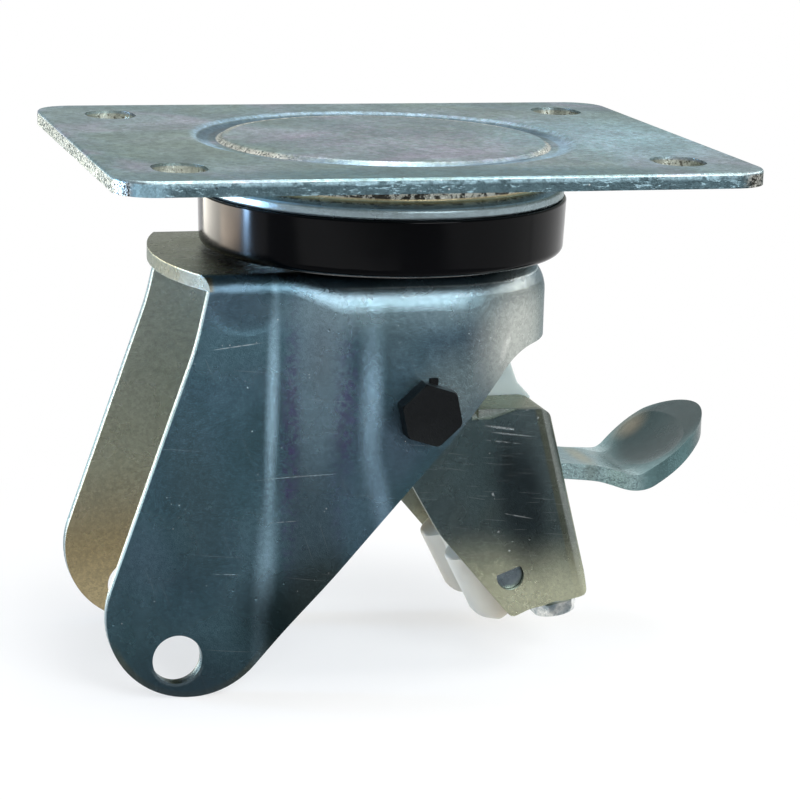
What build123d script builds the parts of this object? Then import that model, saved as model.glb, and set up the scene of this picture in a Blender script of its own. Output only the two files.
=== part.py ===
"""Swivel castor fork with a total-lock brake: plate, swivel head, pressed fork, brake channel and pedal.

Millimetres, +Z up. The origin is the centre of the plate's top face. X runs along the plate's long side,
the fork trails towards -X, and the pedal points to +X.
"""
from build123d import *
from math import atan2, cos, pi, radians, sin, sqrt
import os

os.makedirs("parts", exist_ok=True)

# ---------------------------------------------------------------- top plate
plate_length = 135.0
plate_width = 110.0
plate_thickness = 3.2
plate_corner_radius = 8.2
plate_rollover = 0.6
hole_pitch_x = 105.0
hole_pitch_y = 77.5
slot_length = 13.5
slot_width = 11.0
disc_radius = 34.5
groove_depth = 1.0
groove_inner_radius = 35.6
groove_outer_radius = 39.0
groove_mouth_radius = 41.6
groove_blend = 1.2

# ---------------------------------------------------------------- swivel head
king_bolt_radius = 7.0
king_head_radius = 12.5
king_head_height = 2.6
king_nut_flats = 22.0
king_nut_height = 7.0
king_bolt_overhang = 1.5   # thread standing out below the nut
king_washer_radius = 14.0
king_washer_thickness = 1.5
neck_radius = 36.0
neck_height = 3.9          # neck seen between the plate's ridge and the lip
lip_radius = 39.2
lip_slope = 1.2
lip_height = 2.2
lip_rounding = 0.8
race_web = 3.0
race_inner_gap = 0.5
upper_track_radius = 29.0
upper_ball_radius = 4.5
upper_ball_drop = 16.5     # height of the upper ball centres below the plate's face
lower_track_radius = 19.0
lower_ball_radius = 3.5
track_gap = 0.12           # play between balls and tracks
track_wall = 0.9           # steel left beside a track
ball_spacing = 0.06
seal_outer_radius = 39.8
seal_inner_radius = 36.9
seal_height = 11.8
seal_taper = 0.4
seal_rounding = 1.8

# ---------------------------------------------------------------- fork
fork_sheet = 3.0
crown_drop = 24.2          # height of the crown's top face below the plate's face
leg_half_width = 28.3
leg_shoulder = 3.6
drum_half_width = 29.8
drum_shoulder = 8.0
drum_center_x = 6.5
joggle_front = -29.0
joggle_back = -15.0
joggle_steps = 4
tongue_arc_radius = 63.7
tongue_reach = 6.0          # the arc is cut this far back behind the legs' front edges
tongue_tip_x = -50.3
leg_front_x = -43.7
leg_front_knee = (-46.2, -39.0)
leg_knee_radius = 60.0
skirt_rim_drop = 42.0      # lower rim of the drum at the back
skirt_corner_x = 24.4      # where the rim meets the slanted rear edge
skirt_corner_radius = 11.0
lobe_x = -46.65
lobe_drop = 95.9
lobe_radius = 18.0
axle_x = -49.6
axle_drop = 105.5
axle_hole_radius = 5.3
crown_hole_radius = 11.0

# ---------------------------------------------------------------- lock ring and bottom cup
cup_radius = 24.2
cup_rim_rise = 2.2         # the cup's rim stands this far above the ball centres' lower side
cup_floor = 2.2
lock_ring_radius = 25.5
lock_ring_sheet = 2.0
lock_tooth_width = 3.0     # radial width of the toothed rim
lock_tooth_height = 3.0
lock_tooth_count = 24
lock_tooth_gap = 3.4

# ---------------------------------------------------------------- brake pivot
pivot_x = 2.8
pivot_drop = 53.6
pivot_bolt_radius = 4.0
pivot_hole_gap = 0.15
pivot_head_flats = 12.0
pivot_head_height = 4.2
pivot_head_turn = -17.8
pivot_head_crown = 0.6      # the head's front chamfer starts this far outside its flats
pivot_key_width = 1.8
pivot_key_shift = 1.2
pivot_key_reach = 7.1
sleeve_radius = 5.5
sleeve_gap = 0.06          # running fit of the housing's ears on the sleeve
spacer_radius = 7.5
spacer_play = 0.15
spacer_seat = 0.3          # the spacer stands off the drum's curve by this much
sleeve_seat = 0.1
pivot_washer_radius = 8.5
pivot_washer_thickness = 1.6
pivot_nut_flats = 13.0
pivot_nut_height = 6.5
pivot_bolt_overhang = 1.8
spring_wire_radius = 0.6
spring_coil_radius = 7.2
spring_pitch = 1.4
spring_turns = 2
spring_bend = 1.2
spring_anchor_x = -11.0    # where the spring's leg goes into the far side of the fork
spring_hole_gap = 0.25
spring_hook_gap = 0.35
spring_hook_place = 0.75    # along the ear's edge, from its top
spring_side_gap = 0.3
spring_leg_reach = 1.0

# ---------------------------------------------------------------- brake housing
housing_half_width = 22.0
housing_sheet = 2.0
housing_bend = 4.0         # outer radius of the folds between side plates and back wall
ear_radius = 9.5
tab_front_x = 17.1
tab_drop = 56.0
tab_corner_x = 33.5
tab_corner_radius = 5.0
notch_deep_x = 19.4
notch_back_x = 25.6        # the notch runs out here
notch_depth = 1.9
notch_half_width = 20.6
back_lower = (43.1, -92.4)
back_foot = (43.7, -98.6)
foot_front = (30.1, -101.1)
toe = (26.0, -102.9)
toe_radius = 1.6
front_knee = (8.9, -83.1)
front_knee_radius = 30.0
foot_front_radius = 8.0
foot_corner_radius = 1.2
wall_knee_radius = 8.0      # where the back wall turns down to the foot
foot_bend_inner = 1.0
foot_edge_radius = 0.3
foot_tab_front_x = 31.0
relief_x = 37.2
relief_radius = 8.0
relief_depth = 0.9
lock_window_front_x = 20.7
lock_window_depth = 4.0     # how far the lock's window runs down the back wall

# ---------------------------------------------------------------- shoe, its pin and the adjusting screw
shoe_pin_x = 25.3
shoe_pin_drop = 93.4
shoe_pin_radius = 3.0
shoe_pin_flat = 1.3        # distance of the D's flat from the pin's axis
shoe_pin_turn = 20.0
shoe_pin_recess = 1.1
shoe_pin_gap = 0.06
d_hole_gap = 0.1
shoe_side_play = 0.5
shoe_crest_top = (14.3, -92.2)
shoe_crest_foot = (21.0, -105.2)
shoe_toe = (25.4, -105.1)
shoe_toe_back = (27.4, -103.2)
shoe_top_back = (24.5, -87.2)
shoe_top_radius = 0.8
shoe_foot_radius = 2.4
shoe_toe_radius = 1.5
shoe_edge_radius = 1.0
shoe_body_depth = 8.0
shoe_ridge_spacing = 19.0
shoe_ridge_radius = 7.2
shoe_groove_depth = 2.8
screw_y = -14.0
screw_x = 37.6             # where the screw's axis meets the foot's outer face
screw_radius = 3.0
screw_fit = 0.05
screw_head_flats = 9.5
screw_head_height = 2.8
screw_head_turn = 33.0
screw_head_gap = 1.6       # free thread between the foot tab and the head
screw_tip = 0.8            # thread standing out above the press nut
press_nut_radius = 3.9
press_nut_height = 4.0
heel_gap = 0.3
heel_front_x = 31.0
heel_slope_run = 2.0
heel_back_x = 37.4
heel_height = 6.0

# ---------------------------------------------------------------- swivel lock
lock_half_width = 8.0
lock_front_x = 21.0
lock_nose_half_width = 1.35
lock_nose_height = 3.6
lock_nose_gap = 1.4        # air between the nose and the ring's teeth with the brake off
lock_nose_back_x = 25.6
lock_neck_x = 28.7          # the nose's back slopes down to the neck and the barb
lock_neck_rise = 6.9        # heights above the bulge
lock_barb_x = 29.8
lock_barb_rise = 4.1
lock_back_x = 30.8
lock_bulge = 2.1            # the bulge on the back slides on the housing's wall
lock_bulge_drop = 57.4
lock_bulge_height = 0.8
lock_foot_gap = 0.2         # air between the lock's foot and the pedal's arm
lock_edge_radius = 0.4
lock_window_gap = 0.3

# ---------------------------------------------------------------- pedal
pedal_sheet = 3.6
pedal_neck_half_width = 8.0
pedal_drop = 74.0           # height of the rocking axis, in the slot of the back wall
pedal_wall_inset = 0.45     # the axis lies this far inside the wall's outer face
pedal_slot_half_height = 3.2
pedal_slot_gap = 0.3
pedal_shoulder_half_width = 13.0
pedal_shoulder_run = 4.7    # the shoulders end this far inside the axis
pedal_arm_run = 15.9        # runs and rises of the bends are measured from the rocking axis
pedal_arm_rise = 3.2
pedal_arm_bend_run = 6.9
pedal_arm_bend_rise = 0.2
pedal_slope_run = 12.6
pedal_slope_rise = -1.0
pedal_heel_run = 19.7
pedal_heel_rise = -2.7
pedal_toe_run = 31.7
pedal_toe_rise = 6.5
pedal_tip_run = 41.7
pedal_tip_rise = 12.5
pedal_bend_radius = 6.0
pedal_straight_radius = 20.0
pedal_tip_radius = 12.0
pedal_neck_run = 8.5        # the neck keeps its width up to here
pedal_flare_run = 18.1
pedal_flare_half_width = 12.4
pedal_pad_run = 27.6        # widest place of the pad
pedal_pad_half_width = 15.4
pedal_end_run = 38.0
pedal_dish_depth = 1.1      # the pad is pressed hollow inside a plain rim
pedal_dish_run = 27.8       # middle of the hollow
pedal_dish_rim = 1.6


def at(x, drop):
    """A point of the side view from its x and its distance below the plate's face."""
    return (x, -drop)


def touch_point(point, centre, radius, side):
    """Where the line from a point touches a circle; side is +1 or -1."""
    dx, dz = point[0] - centre[0], point[1] - centre[1]
    reach = sqrt(dx * dx + dz * dz)
    turn = side * atan2(sqrt(reach * reach - radius * radius), radius)
    way = atan2(dz, dx) + turn
    return (centre[0] + radius * cos(way), centre[1] + radius * sin(way))


def on_circle(centre, radius, degrees):
    return (centre[0] + radius * cos(radians(degrees)), centre[1] + radius * sin(radians(degrees)))


plate_under = -plate_thickness
ridge_under = plate_under - groove_depth
lip_top = ridge_under - neck_height
lip_bottom = lip_top - lip_slope - lip_height
upper_ball_z = -upper_ball_drop
crown_top = -crown_drop
crown_under = crown_top - fork_sheet
lower_ball_z = crown_under - 0.8 * lower_ball_radius
cup_bottom = lower_ball_z - lower_ball_radius - track_gap - cup_floor
ring_under = cup_bottom - lock_ring_sheet
tooth_under = ring_under - lock_tooth_height
king_washer_under = ring_under - king_washer_thickness
king_nut_under = king_washer_under - king_nut_height

spare = 10.0                # cutting shapes reach this far past the steel
drum_inner = drum_half_width - fork_sheet
below_fork = -(lobe_drop + lobe_radius + spare)

# ======================================== top plate
with BuildPart() as top_plate:
    with BuildSketch(Plane.XY.offset(plate_under)):
        RectangleRounded(plate_length, plate_width, plate_corner_radius)
        with GridLocations(hole_pitch_x, hole_pitch_y, 2, 2):
            SlotOverall(slot_length, slot_width, rotation=90, mode=Mode.SUBTRACT)
    extrude(amount=plate_thickness)
    plate_face = top_plate.faces().sort_by(Axis.Z)[-1]
    fillet(plate_face.outer_wire().edges(), plate_rollover)
    # pressed ring: a ridge below and the matching groove above
    with BuildSketch(Plane.XZ):
        with BuildLine():
            ridge = FilletPolyline(
                (disc_radius - groove_depth, plate_under),
                (groove_inner_radius - 0.9, ridge_under),
                (groove_outer_radius - 0.6, ridge_under),
                (groove_mouth_radius - 0.4, plate_under),
                radius=0.8,
            )
            Polyline(ridge @ 1, (groove_mouth_radius - 0.4, plate_under + 1), (disc_radius - groove_depth,
                     plate_under + 1), ridge @ 0)
        make_face()
    revolve(axis=Axis.Z)
    with BuildSketch(Plane.XZ):
        with BuildLine():
            groove = FilletPolyline(
                (disc_radius - 2, 0),
                (disc_radius, 0),
                (groove_inner_radius, -groove_depth),
                (groove_outer_radius, -groove_depth),
                (groove_mouth_radius, 0),
                (groove_mouth_radius + 2, 0),
                radius=[0.8, 0.5, groove_blend, groove_blend],
            )
            Polyline(groove @ 1, (groove_mouth_radius + 2, 1), (disc_radius - 2, 1), groove @ 0)
        make_face()
    revolve(axis=Axis.Z, mode=Mode.SUBTRACT)
top_plate.part.label = "top_plate"
export_step(top_plate.part, "parts/top_plate.step")

# ======================================== upper race with the neck and its lip
race_bore = king_head_radius + race_inner_gap
with BuildPart() as upper_race:
    with BuildSketch(Plane.XZ):
        with BuildLine():
            outside = FilletPolyline(
                (neck_radius, ridge_under),
                (neck_radius, lip_top),
                (lip_radius, lip_top - lip_slope),
                (lip_radius, lip_bottom),
                (seal_inner_radius - 0.2, lip_bottom),
                radius=[0.6, lip_rounding, lip_rounding],
            )
            Polyline(
                outside @ 1,
                (upper_track_radius + upper_ball_radius + track_wall, lip_bottom),
                (upper_track_radius + upper_ball_radius + track_wall, upper_ball_z + 1.4),
                (upper_track_radius - upper_ball_radius - track_wall, upper_ball_z + 1.4),
                (upper_track_radius - upper_ball_radius - track_wall, plate_under - race_web),
                (race_bore, plate_under - race_web),
                (race_bore, plate_under),
                (disc_radius - groove_depth - 0.8, plate_under),
                (groove_inner_radius - 1.4, ridge_under),
                outside @ 0,
            )
        make_face()
        with Locations((upper_track_radius, upper_ball_z)):
            Circle(upper_ball_radius + track_gap, mode=Mode.SUBTRACT)
    revolve(axis=Axis.Z)
upper_race.part.label = "upper_race"
export_step(upper_race.part, "parts/upper_race.step")

# ======================================== king bolt, washer and nut
with BuildPart() as king_bolt:
    with BuildSketch(Plane.XY.offset(plate_under)):
        Circle(king_head_radius)
    extrude(amount=-king_head_height)
    with BuildSketch(Plane.XY.offset(plate_under)):
        Circle(king_bolt_radius)
    extrude(amount=king_nut_under - king_bolt_overhang - plate_under)
    chamfer(king_bolt.edges().filter_by(GeomType.CIRCLE).sort_by(Axis.Z)[0], 0.8)
king_bolt.part.label = "king_bolt"
export_step(king_bolt.part, "parts/king_bolt.step")

with BuildPart() as king_washer:
    with BuildSketch(Plane.XY.offset(king_washer_under)):
        Circle(king_washer_radius)
        Circle(king_bolt_radius + 0.05, mode=Mode.SUBTRACT)
    extrude(amount=king_washer_thickness)
king_washer.part.label = "king_washer"
export_step(king_washer.part, "parts/king_washer.step")

with BuildPart() as king_nut:
    with BuildSketch(Plane.XY.offset(king_nut_under)):
        RegularPolygon(king_nut_flats / 2, 6, major_radius=False)
    extrude(amount=king_nut_height)
    with BuildSketch(Plane.XY.offset(king_nut_under)):
        Circle(king_nut_flats / 2 + 0.3)
    extrude(amount=king_nut_height, taper=-30, mode=Mode.INTERSECT)
    with BuildSketch(Plane.XY.offset(king_nut_under)):
        Circle(king_bolt_radius + 0.05)
    extrude(amount=king_nut_height, mode=Mode.SUBTRACT)
king_nut.part.label = "king_nut"
export_step(king_nut.part, "parts/king_nut.step")

# ======================================== ball rows
upper_ball_count = int(2 * pi * upper_track_radius / (2 * upper_ball_radius + ball_spacing))
lower_ball_count = int(2 * pi * lower_track_radius / (2 * lower_ball_radius + ball_spacing))
with BuildPart(Plane.XY.offset(upper_ball_z)) as upper_balls:
    with PolarLocations(upper_track_radius, upper_ball_count):
        Sphere(upper_ball_radius)
upper_balls.part.label = "upper_balls"
export_step(upper_balls.part, "parts/upper_balls.step")

with BuildPart(Plane.XY.offset(lower_ball_z)) as lower_balls:
    with PolarLocations(lower_track_radius, lower_ball_count):
        Sphere(lower_ball_radius)
lower_balls.part.label = "lower_balls"
export_step(lower_balls.part, "parts/lower_balls.step")

# ======================================== crown race, seated on the fork's crown
with BuildPart() as crown_race:
    with BuildSketch(Plane.XZ):
        with Locations((upper_track_radius, (crown_top + upper_ball_z - 1.4) / 2)):
            Rectangle(2 * (upper_ball_radius + track_wall), upper_ball_z - 1.4 - crown_top)
        with Locations((upper_track_radius, upper_ball_z)):
            Circle(upper_ball_radius + track_gap, mode=Mode.SUBTRACT)
    revolve(axis=Axis.Z)
crown_race.part.label = "crown_race"
export_step(crown_race.part, "parts/crown_race.step")

# ======================================== seal ring, pushed on under the lip
with BuildPart() as seal_ring:
    with BuildSketch(Plane.XZ):
        with BuildLine():
            skin = FilletPolyline(
                (seal_inner_radius, lip_bottom),
                (seal_outer_radius, lip_bottom),
                (seal_outer_radius - seal_taper, lip_bottom - seal_height),
                (seal_inner_radius, lip_bottom - seal_height),
                radius=[0.4, seal_rounding],
            )
            Line(skin @ 1, skin @ 0)
        make_face()
    revolve(axis=Axis.Z)
seal_ring.part.label = "seal_ring"
export_step(seal_ring.part, "parts/seal_ring.step")

# ======================================== bottom cup and toothed lock ring
with BuildPart() as bottom_cup:
    with BuildSketch(Plane.XZ):
        with BuildLine():
            Polyline(
                (king_bolt_radius + 0.05, cup_bottom),
                (cup_radius, cup_bottom),
                (cup_radius, lower_ball_z - cup_rim_rise + 1.2),
                (lower_track_radius - lower_ball_radius - 1.4, lower_ball_z - cup_rim_rise + 1.2),
                (king_bolt_radius + 0.05, lower_ball_z - cup_rim_rise + 1.2),
                close=True,
            )
        make_face()
        with Locations((lower_track_radius, lower_ball_z)):
            Circle(lower_ball_radius + track_gap, mode=Mode.SUBTRACT)
    revolve(axis=Axis.Z)
bottom_cup.part.label = "bottom_cup"
export_step(bottom_cup.part, "parts/bottom_cup.step")

with BuildPart() as lock_ring:
    with BuildSketch(Plane.XY.offset(ring_under)):
        Circle(lock_ring_radius)
        Circle(king_bolt_radius + 0.05, mode=Mode.SUBTRACT)
    extrude(amount=lock_ring_sheet)
    with BuildSketch(Plane.XY.offset(tooth_under)):
        Circle(lock_ring_radius)
        Circle(lock_ring_radius - lock_tooth_width, mode=Mode.SUBTRACT)
        with PolarLocations(lock_ring_radius - lock_tooth_width / 2, lock_tooth_count):
            Rectangle(2 * lock_tooth_width, lock_tooth_gap, mode=Mode.SUBTRACT)
    extrude(amount=lock_tooth_height)
lock_ring.part.label = "lock_ring"
export_step(lock_ring.part, "parts/lock_ring.step")


# ======================================== fork
def arch(x, half_width, top, corner):
    """Cross-section of the fork's block at x: two sides under a flat top with rounded shoulders."""
    with BuildSketch(Plane.YZ.offset(x)) as section:
        with BuildLine():
            outline = FilletPolyline(
                (-half_width, below_fork), (-half_width, top), (half_width, top), (half_width, below_fork),
                radius=corner,
            )
            Line(outline @ 1, outline @ 0)
        make_face()
    return section.sketch.face()


def drum_profile(half_width, top, corner):
    """Half section of the round back of the fork, turned about the drum's axis."""
    with BuildSketch(Plane.XZ) as section:
        with BuildLine():
            outline = FilletPolyline(
                (drum_center_x, top), (drum_center_x + half_width, top),
                (drum_center_x + half_width, below_fork), radius=corner,
            )
            Polyline(outline @ 1, (drum_center_x, below_fork), outline @ 0)
        make_face()
    return section.sketch.face()


def arches(inset):
    """Sections through the joggle, where the legs step out to the wider drum."""
    sections = []
    for step in range(joggle_steps + 1):
        part_way = step / joggle_steps
        blend = part_way * part_way * (3 - 2 * part_way)
        half_width = leg_half_width + blend * (drum_half_width - leg_half_width) - inset
        corner = max(leg_shoulder + blend * (drum_shoulder - leg_shoulder) - inset, 0.5)
        sections.append(arch(joggle_front + part_way * (joggle_back - joggle_front), half_width,
                             crown_top - inset, corner))
    return sections


fork_front_x = lobe_x - lobe_radius - spare
drum_axis = Axis((drum_center_x, 0, 0), (0, 0, 1))
lobe = at(lobe_x, lobe_drop)
skirt_corner = at(skirt_corner_x, skirt_rim_drop)
rear_touch = touch_point(skirt_corner, lobe, lobe_radius, -1)
front_touch = touch_point(leg_front_knee, lobe, lobe_radius, 1)

with BuildPart() as fork:
    for inset, how in ((0, Mode.ADD), (fork_sheet, Mode.SUBTRACT)):
        sections = arches(inset)
        extrude(sections[0], amount=joggle_front - fork_front_x, dir=(-1, 0, 0), mode=how)
        loft(sections, mode=how)
        extrude(sections[-1], amount=drum_center_x - joggle_back, dir=(1, 0, 0), mode=how)
        revolve(drum_profile(drum_half_width - inset, crown_top - inset, drum_shoulder - inset),
                axis=drum_axis, mode=how)
    # the outline seen from the side: lobes, slanted rear edge, skirt rim
    with BuildSketch(Plane.XZ):
        with BuildLine():
            rear = FilletPolyline(
                rear_touch, skirt_corner, (drum_center_x + 2 * drum_half_width, -skirt_rim_drop),
                radius=skirt_corner_radius,
            )
            front = FilletPolyline(
                (fork_front_x, crown_under), (leg_front_x, crown_under), leg_front_knee, front_touch,
                radius=[0.2, leg_knee_radius],
            )
            Polyline(rear @ 1, (drum_center_x + 2 * drum_half_width, 0), (fork_front_x, 0), front @ 0)
            ThreePointArc(front_touch, on_circle(lobe, lobe_radius, 235), rear_touch)
        make_face()
    extrude(amount=2 * drum_half_width, both=True, mode=Mode.INTERSECT)
    # the crown's front edge is an arc
    with BuildSketch(Plane.XY.offset(crown_under)):
        with Locations((fork_front_x, 0)):
            Rectangle(2 * (leg_front_x + tongue_reach - fork_front_x), 3 * leg_half_width)
        with Locations((tongue_tip_x + tongue_arc_radius, 0)):
            Circle(tongue_arc_radius, mode=Mode.SUBTRACT)
    extrude(amount=fork_sheet, mode=Mode.SUBTRACT)
    # swivel hole and the track pressed into the crown's underside
    with BuildSketch(Plane.XY.offset(crown_under)):
        Circle(crown_hole_radius)
    extrude(amount=fork_sheet, mode=Mode.SUBTRACT)
    with BuildSketch(Plane.XZ):
        with Locations((lower_track_radius, lower_ball_z)):
            Circle(lower_ball_radius + track_gap)
    revolve(axis=Axis.Z, mode=Mode.SUBTRACT)
    # axle bore and brake pivot bore through both legs, and the notch for the bolt's key
    with BuildSketch(Plane.XZ):
        with Locations(at(axle_x, axle_drop)):
            Circle(axle_hole_radius)
        with Locations(at(pivot_x, pivot_drop)):
            Circle(pivot_bolt_radius + pivot_hole_gap)
    extrude(amount=2 * drum_half_width, both=True, mode=Mode.SUBTRACT)
    with BuildSketch(Plane.XZ):
        with Locations((spring_anchor_x, spring_coil_radius - pivot_drop)):
            Circle(spring_wire_radius + spring_hole_gap)
    extrude(amount=-2 * drum_half_width, mode=Mode.SUBTRACT)
    with BuildSketch(Plane.XZ):
        with Locations(at(pivot_x + pivot_key_shift, pivot_drop - pivot_key_reach / 2)):
            Rectangle(pivot_key_width + 0.2, pivot_key_reach + 0.2)
    extrude(amount=2 * drum_half_width, mode=Mode.SUBTRACT)
fork.part.label = "fork"
export_step(fork.part, "parts/fork.step")

# ======================================== brake pivot: bolt, sleeve, spacer, washer and nut
near_side = Plane((pivot_x, -drum_half_width, -pivot_drop), x_dir=(1, 0, 0), z_dir=(0, -1, 0))
far_side = Plane((pivot_x, drum_half_width, -pivot_drop), x_dir=(1, 0, 0), z_dir=(0, 1, 0))
pivot_grip = 2 * drum_half_width + pivot_washer_thickness + pivot_nut_height + pivot_bolt_overhang

with BuildPart() as pivot_bolt:
    with BuildSketch(near_side):
        RegularPolygon(pivot_head_flats / 2, 6, major_radius=False, rotation=pivot_head_turn)
    extrude(amount=pivot_head_height)
    with BuildSketch(near_side.offset(pivot_head_height)):
        Circle(pivot_head_flats / 2 + pivot_head_crown)
    extrude(amount=-pivot_head_height, taper=-30, mode=Mode.INTERSECT)
    with BuildSketch(near_side):
        Circle(pivot_bolt_radius)
    extrude(amount=-pivot_grip)
    with BuildSketch(near_side.offset(0.4)):
        with Locations((pivot_key_shift, pivot_key_reach / 2)):
            Rectangle(pivot_key_width, pivot_key_reach)
    extrude(amount=-fork_sheet)
pivot_bolt.part.label = "pivot_bolt"
export_step(pivot_bolt.part, "parts/pivot_bolt.step")

with BuildPart() as pivot_sleeve:
    with BuildSketch(near_side.offset(-fork_sheet - sleeve_seat)):
        Circle(sleeve_radius)
        Circle(pivot_bolt_radius + pivot_hole_gap, mode=Mode.SUBTRACT)
    extrude(amount=-2 * (drum_inner - sleeve_seat))
pivot_sleeve.part.label = "pivot_sleeve"
export_step(pivot_sleeve.part, "parts/pivot_sleeve.step")

with BuildPart() as near_spacer:
    with BuildSketch(near_side.offset(-fork_sheet - spacer_seat)):
        Circle(spacer_radius)
        Circle(sleeve_radius + 0.05, mode=Mode.SUBTRACT)
    extrude(amount=-(drum_inner - spacer_seat - housing_half_width - spacer_play))
near_spacer.part.label = "near_spacer"
export_step(near_spacer.part, "parts/near_spacer.step")

with BuildPart() as pivot_washer:
    with BuildSketch(far_side):
        Circle(pivot_washer_radius)
        Circle(pivot_bolt_radius + 0.05, mode=Mode.SUBTRACT)
    extrude(amount=pivot_washer_thickness)
pivot_washer.part.label = "pivot_washer"
export_step(pivot_washer.part, "parts/pivot_washer.step")

with BuildPart() as pivot_nut:
    with BuildSketch(far_side.offset(pivot_washer_thickness)):
        RegularPolygon(pivot_nut_flats / 2, 6, major_radius=False)
    extrude(amount=pivot_nut_height)
    with BuildSketch(far_side.offset(pivot_washer_thickness + pivot_nut_height)):
        Circle(pivot_nut_flats / 2 + 0.2)
    extrude(amount=-pivot_nut_height, taper=-30, mode=Mode.INTERSECT)
    with BuildSketch(far_side.offset(pivot_washer_thickness)):
        Circle(pivot_bolt_radius + 0.05)
    extrude(amount=pivot_nut_height, mode=Mode.SUBTRACT)
pivot_nut.part.label = "pivot_nut"
export_step(pivot_nut.part, "parts/pivot_nut.step")

# ======================================== brake housing, a channel folded from one sheet
pivot = at(pivot_x, pivot_drop)
tab_corner = at(tab_corner_x, tab_drop)
notch_front = (tab_front_x, -tab_drop - notch_depth)
back_run = (back_lower[0] - tab_corner[0], back_lower[1] - tab_corner[1])
back_cos = -back_run[1] / sqrt(back_run[0] ** 2 + back_run[1] ** 2)
wall_shift = housing_sheet / back_cos      # the wall's thickness measured along X
housing_inner = housing_half_width - housing_sheet
wall_plane = Plane(
    (tab_corner[0], 0, tab_corner[1]), x_dir=(back_cos, 0, back_cos * back_run[0] / -back_run[1]),
    z_dir=(back_run[0], 0, back_run[1]),
)
foot_angle = atan2(back_foot[1] - foot_front[1], back_foot[0] - foot_front[0])


def foot_point(x, height):
    """A point at a height above the foot's outer face, where x is read along that face."""
    z = foot_front[1] + (x - foot_front[0]) * sin(foot_angle) / cos(foot_angle)
    return (x - height * sin(foot_angle), z + height * cos(foot_angle))


lock_window_run = 2 * (tab_corner_x - lock_window_front_x)
pedal_x = tab_corner_x + (pedal_drop - tab_drop) * back_run[0] / -back_run[1] - pedal_wall_inset
screw_foot = foot_point(screw_x, 0)
screw_plane = Plane(
    (screw_foot[0], screw_y, screw_foot[1]), x_dir=(0, 1, 0), z_dir=(-sin(foot_angle), 0, cos(foot_angle)),
)
ear_top = touch_point(notch_front, pivot, ear_radius, 1)
ear_front = touch_point(front_knee, pivot, ear_radius, -1)


with BuildPart() as housing_hollow:
    with BuildSketch(wall_plane) as hollow_plan:
        with Locations((-2 * housing_half_width - housing_sheet, 0)):
            Rectangle(4 * housing_half_width, 2 * housing_inner)
        fillet(hollow_plan.vertices().group_by(Axis.X)[-1], housing_bend - housing_sheet)
    extrude(amount=4 * housing_half_width, both=True)
    with BuildSketch(Plane.XZ):
        with BuildLine():
            hollow = FilletPolyline(
                (foot_tab_front_x, below_fork),
                foot_point(foot_tab_front_x + 0.3, housing_sheet),
                foot_point(back_foot[0] - housing_sheet + 0.4, housing_sheet),
                (back_lower[0] - wall_shift, back_lower[1]),
                (tab_corner[0] - wall_shift - 0.5, tab_corner[1] - housing_sheet),
                (tab_front_x, tab_corner[1] - housing_sheet),
                radius=[
                    foot_edge_radius, foot_bend_inner, wall_knee_radius - housing_sheet,
                    tab_corner_radius - housing_sheet,
                ],
            )
            Polyline(
                hollow @ 1, (tab_front_x, 0), (fork_front_x, 0), (fork_front_x, below_fork), hollow @ 0,
            )
        make_face()
    extrude(amount=housing_inner, both=True, mode=Mode.INTERSECT)

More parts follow.
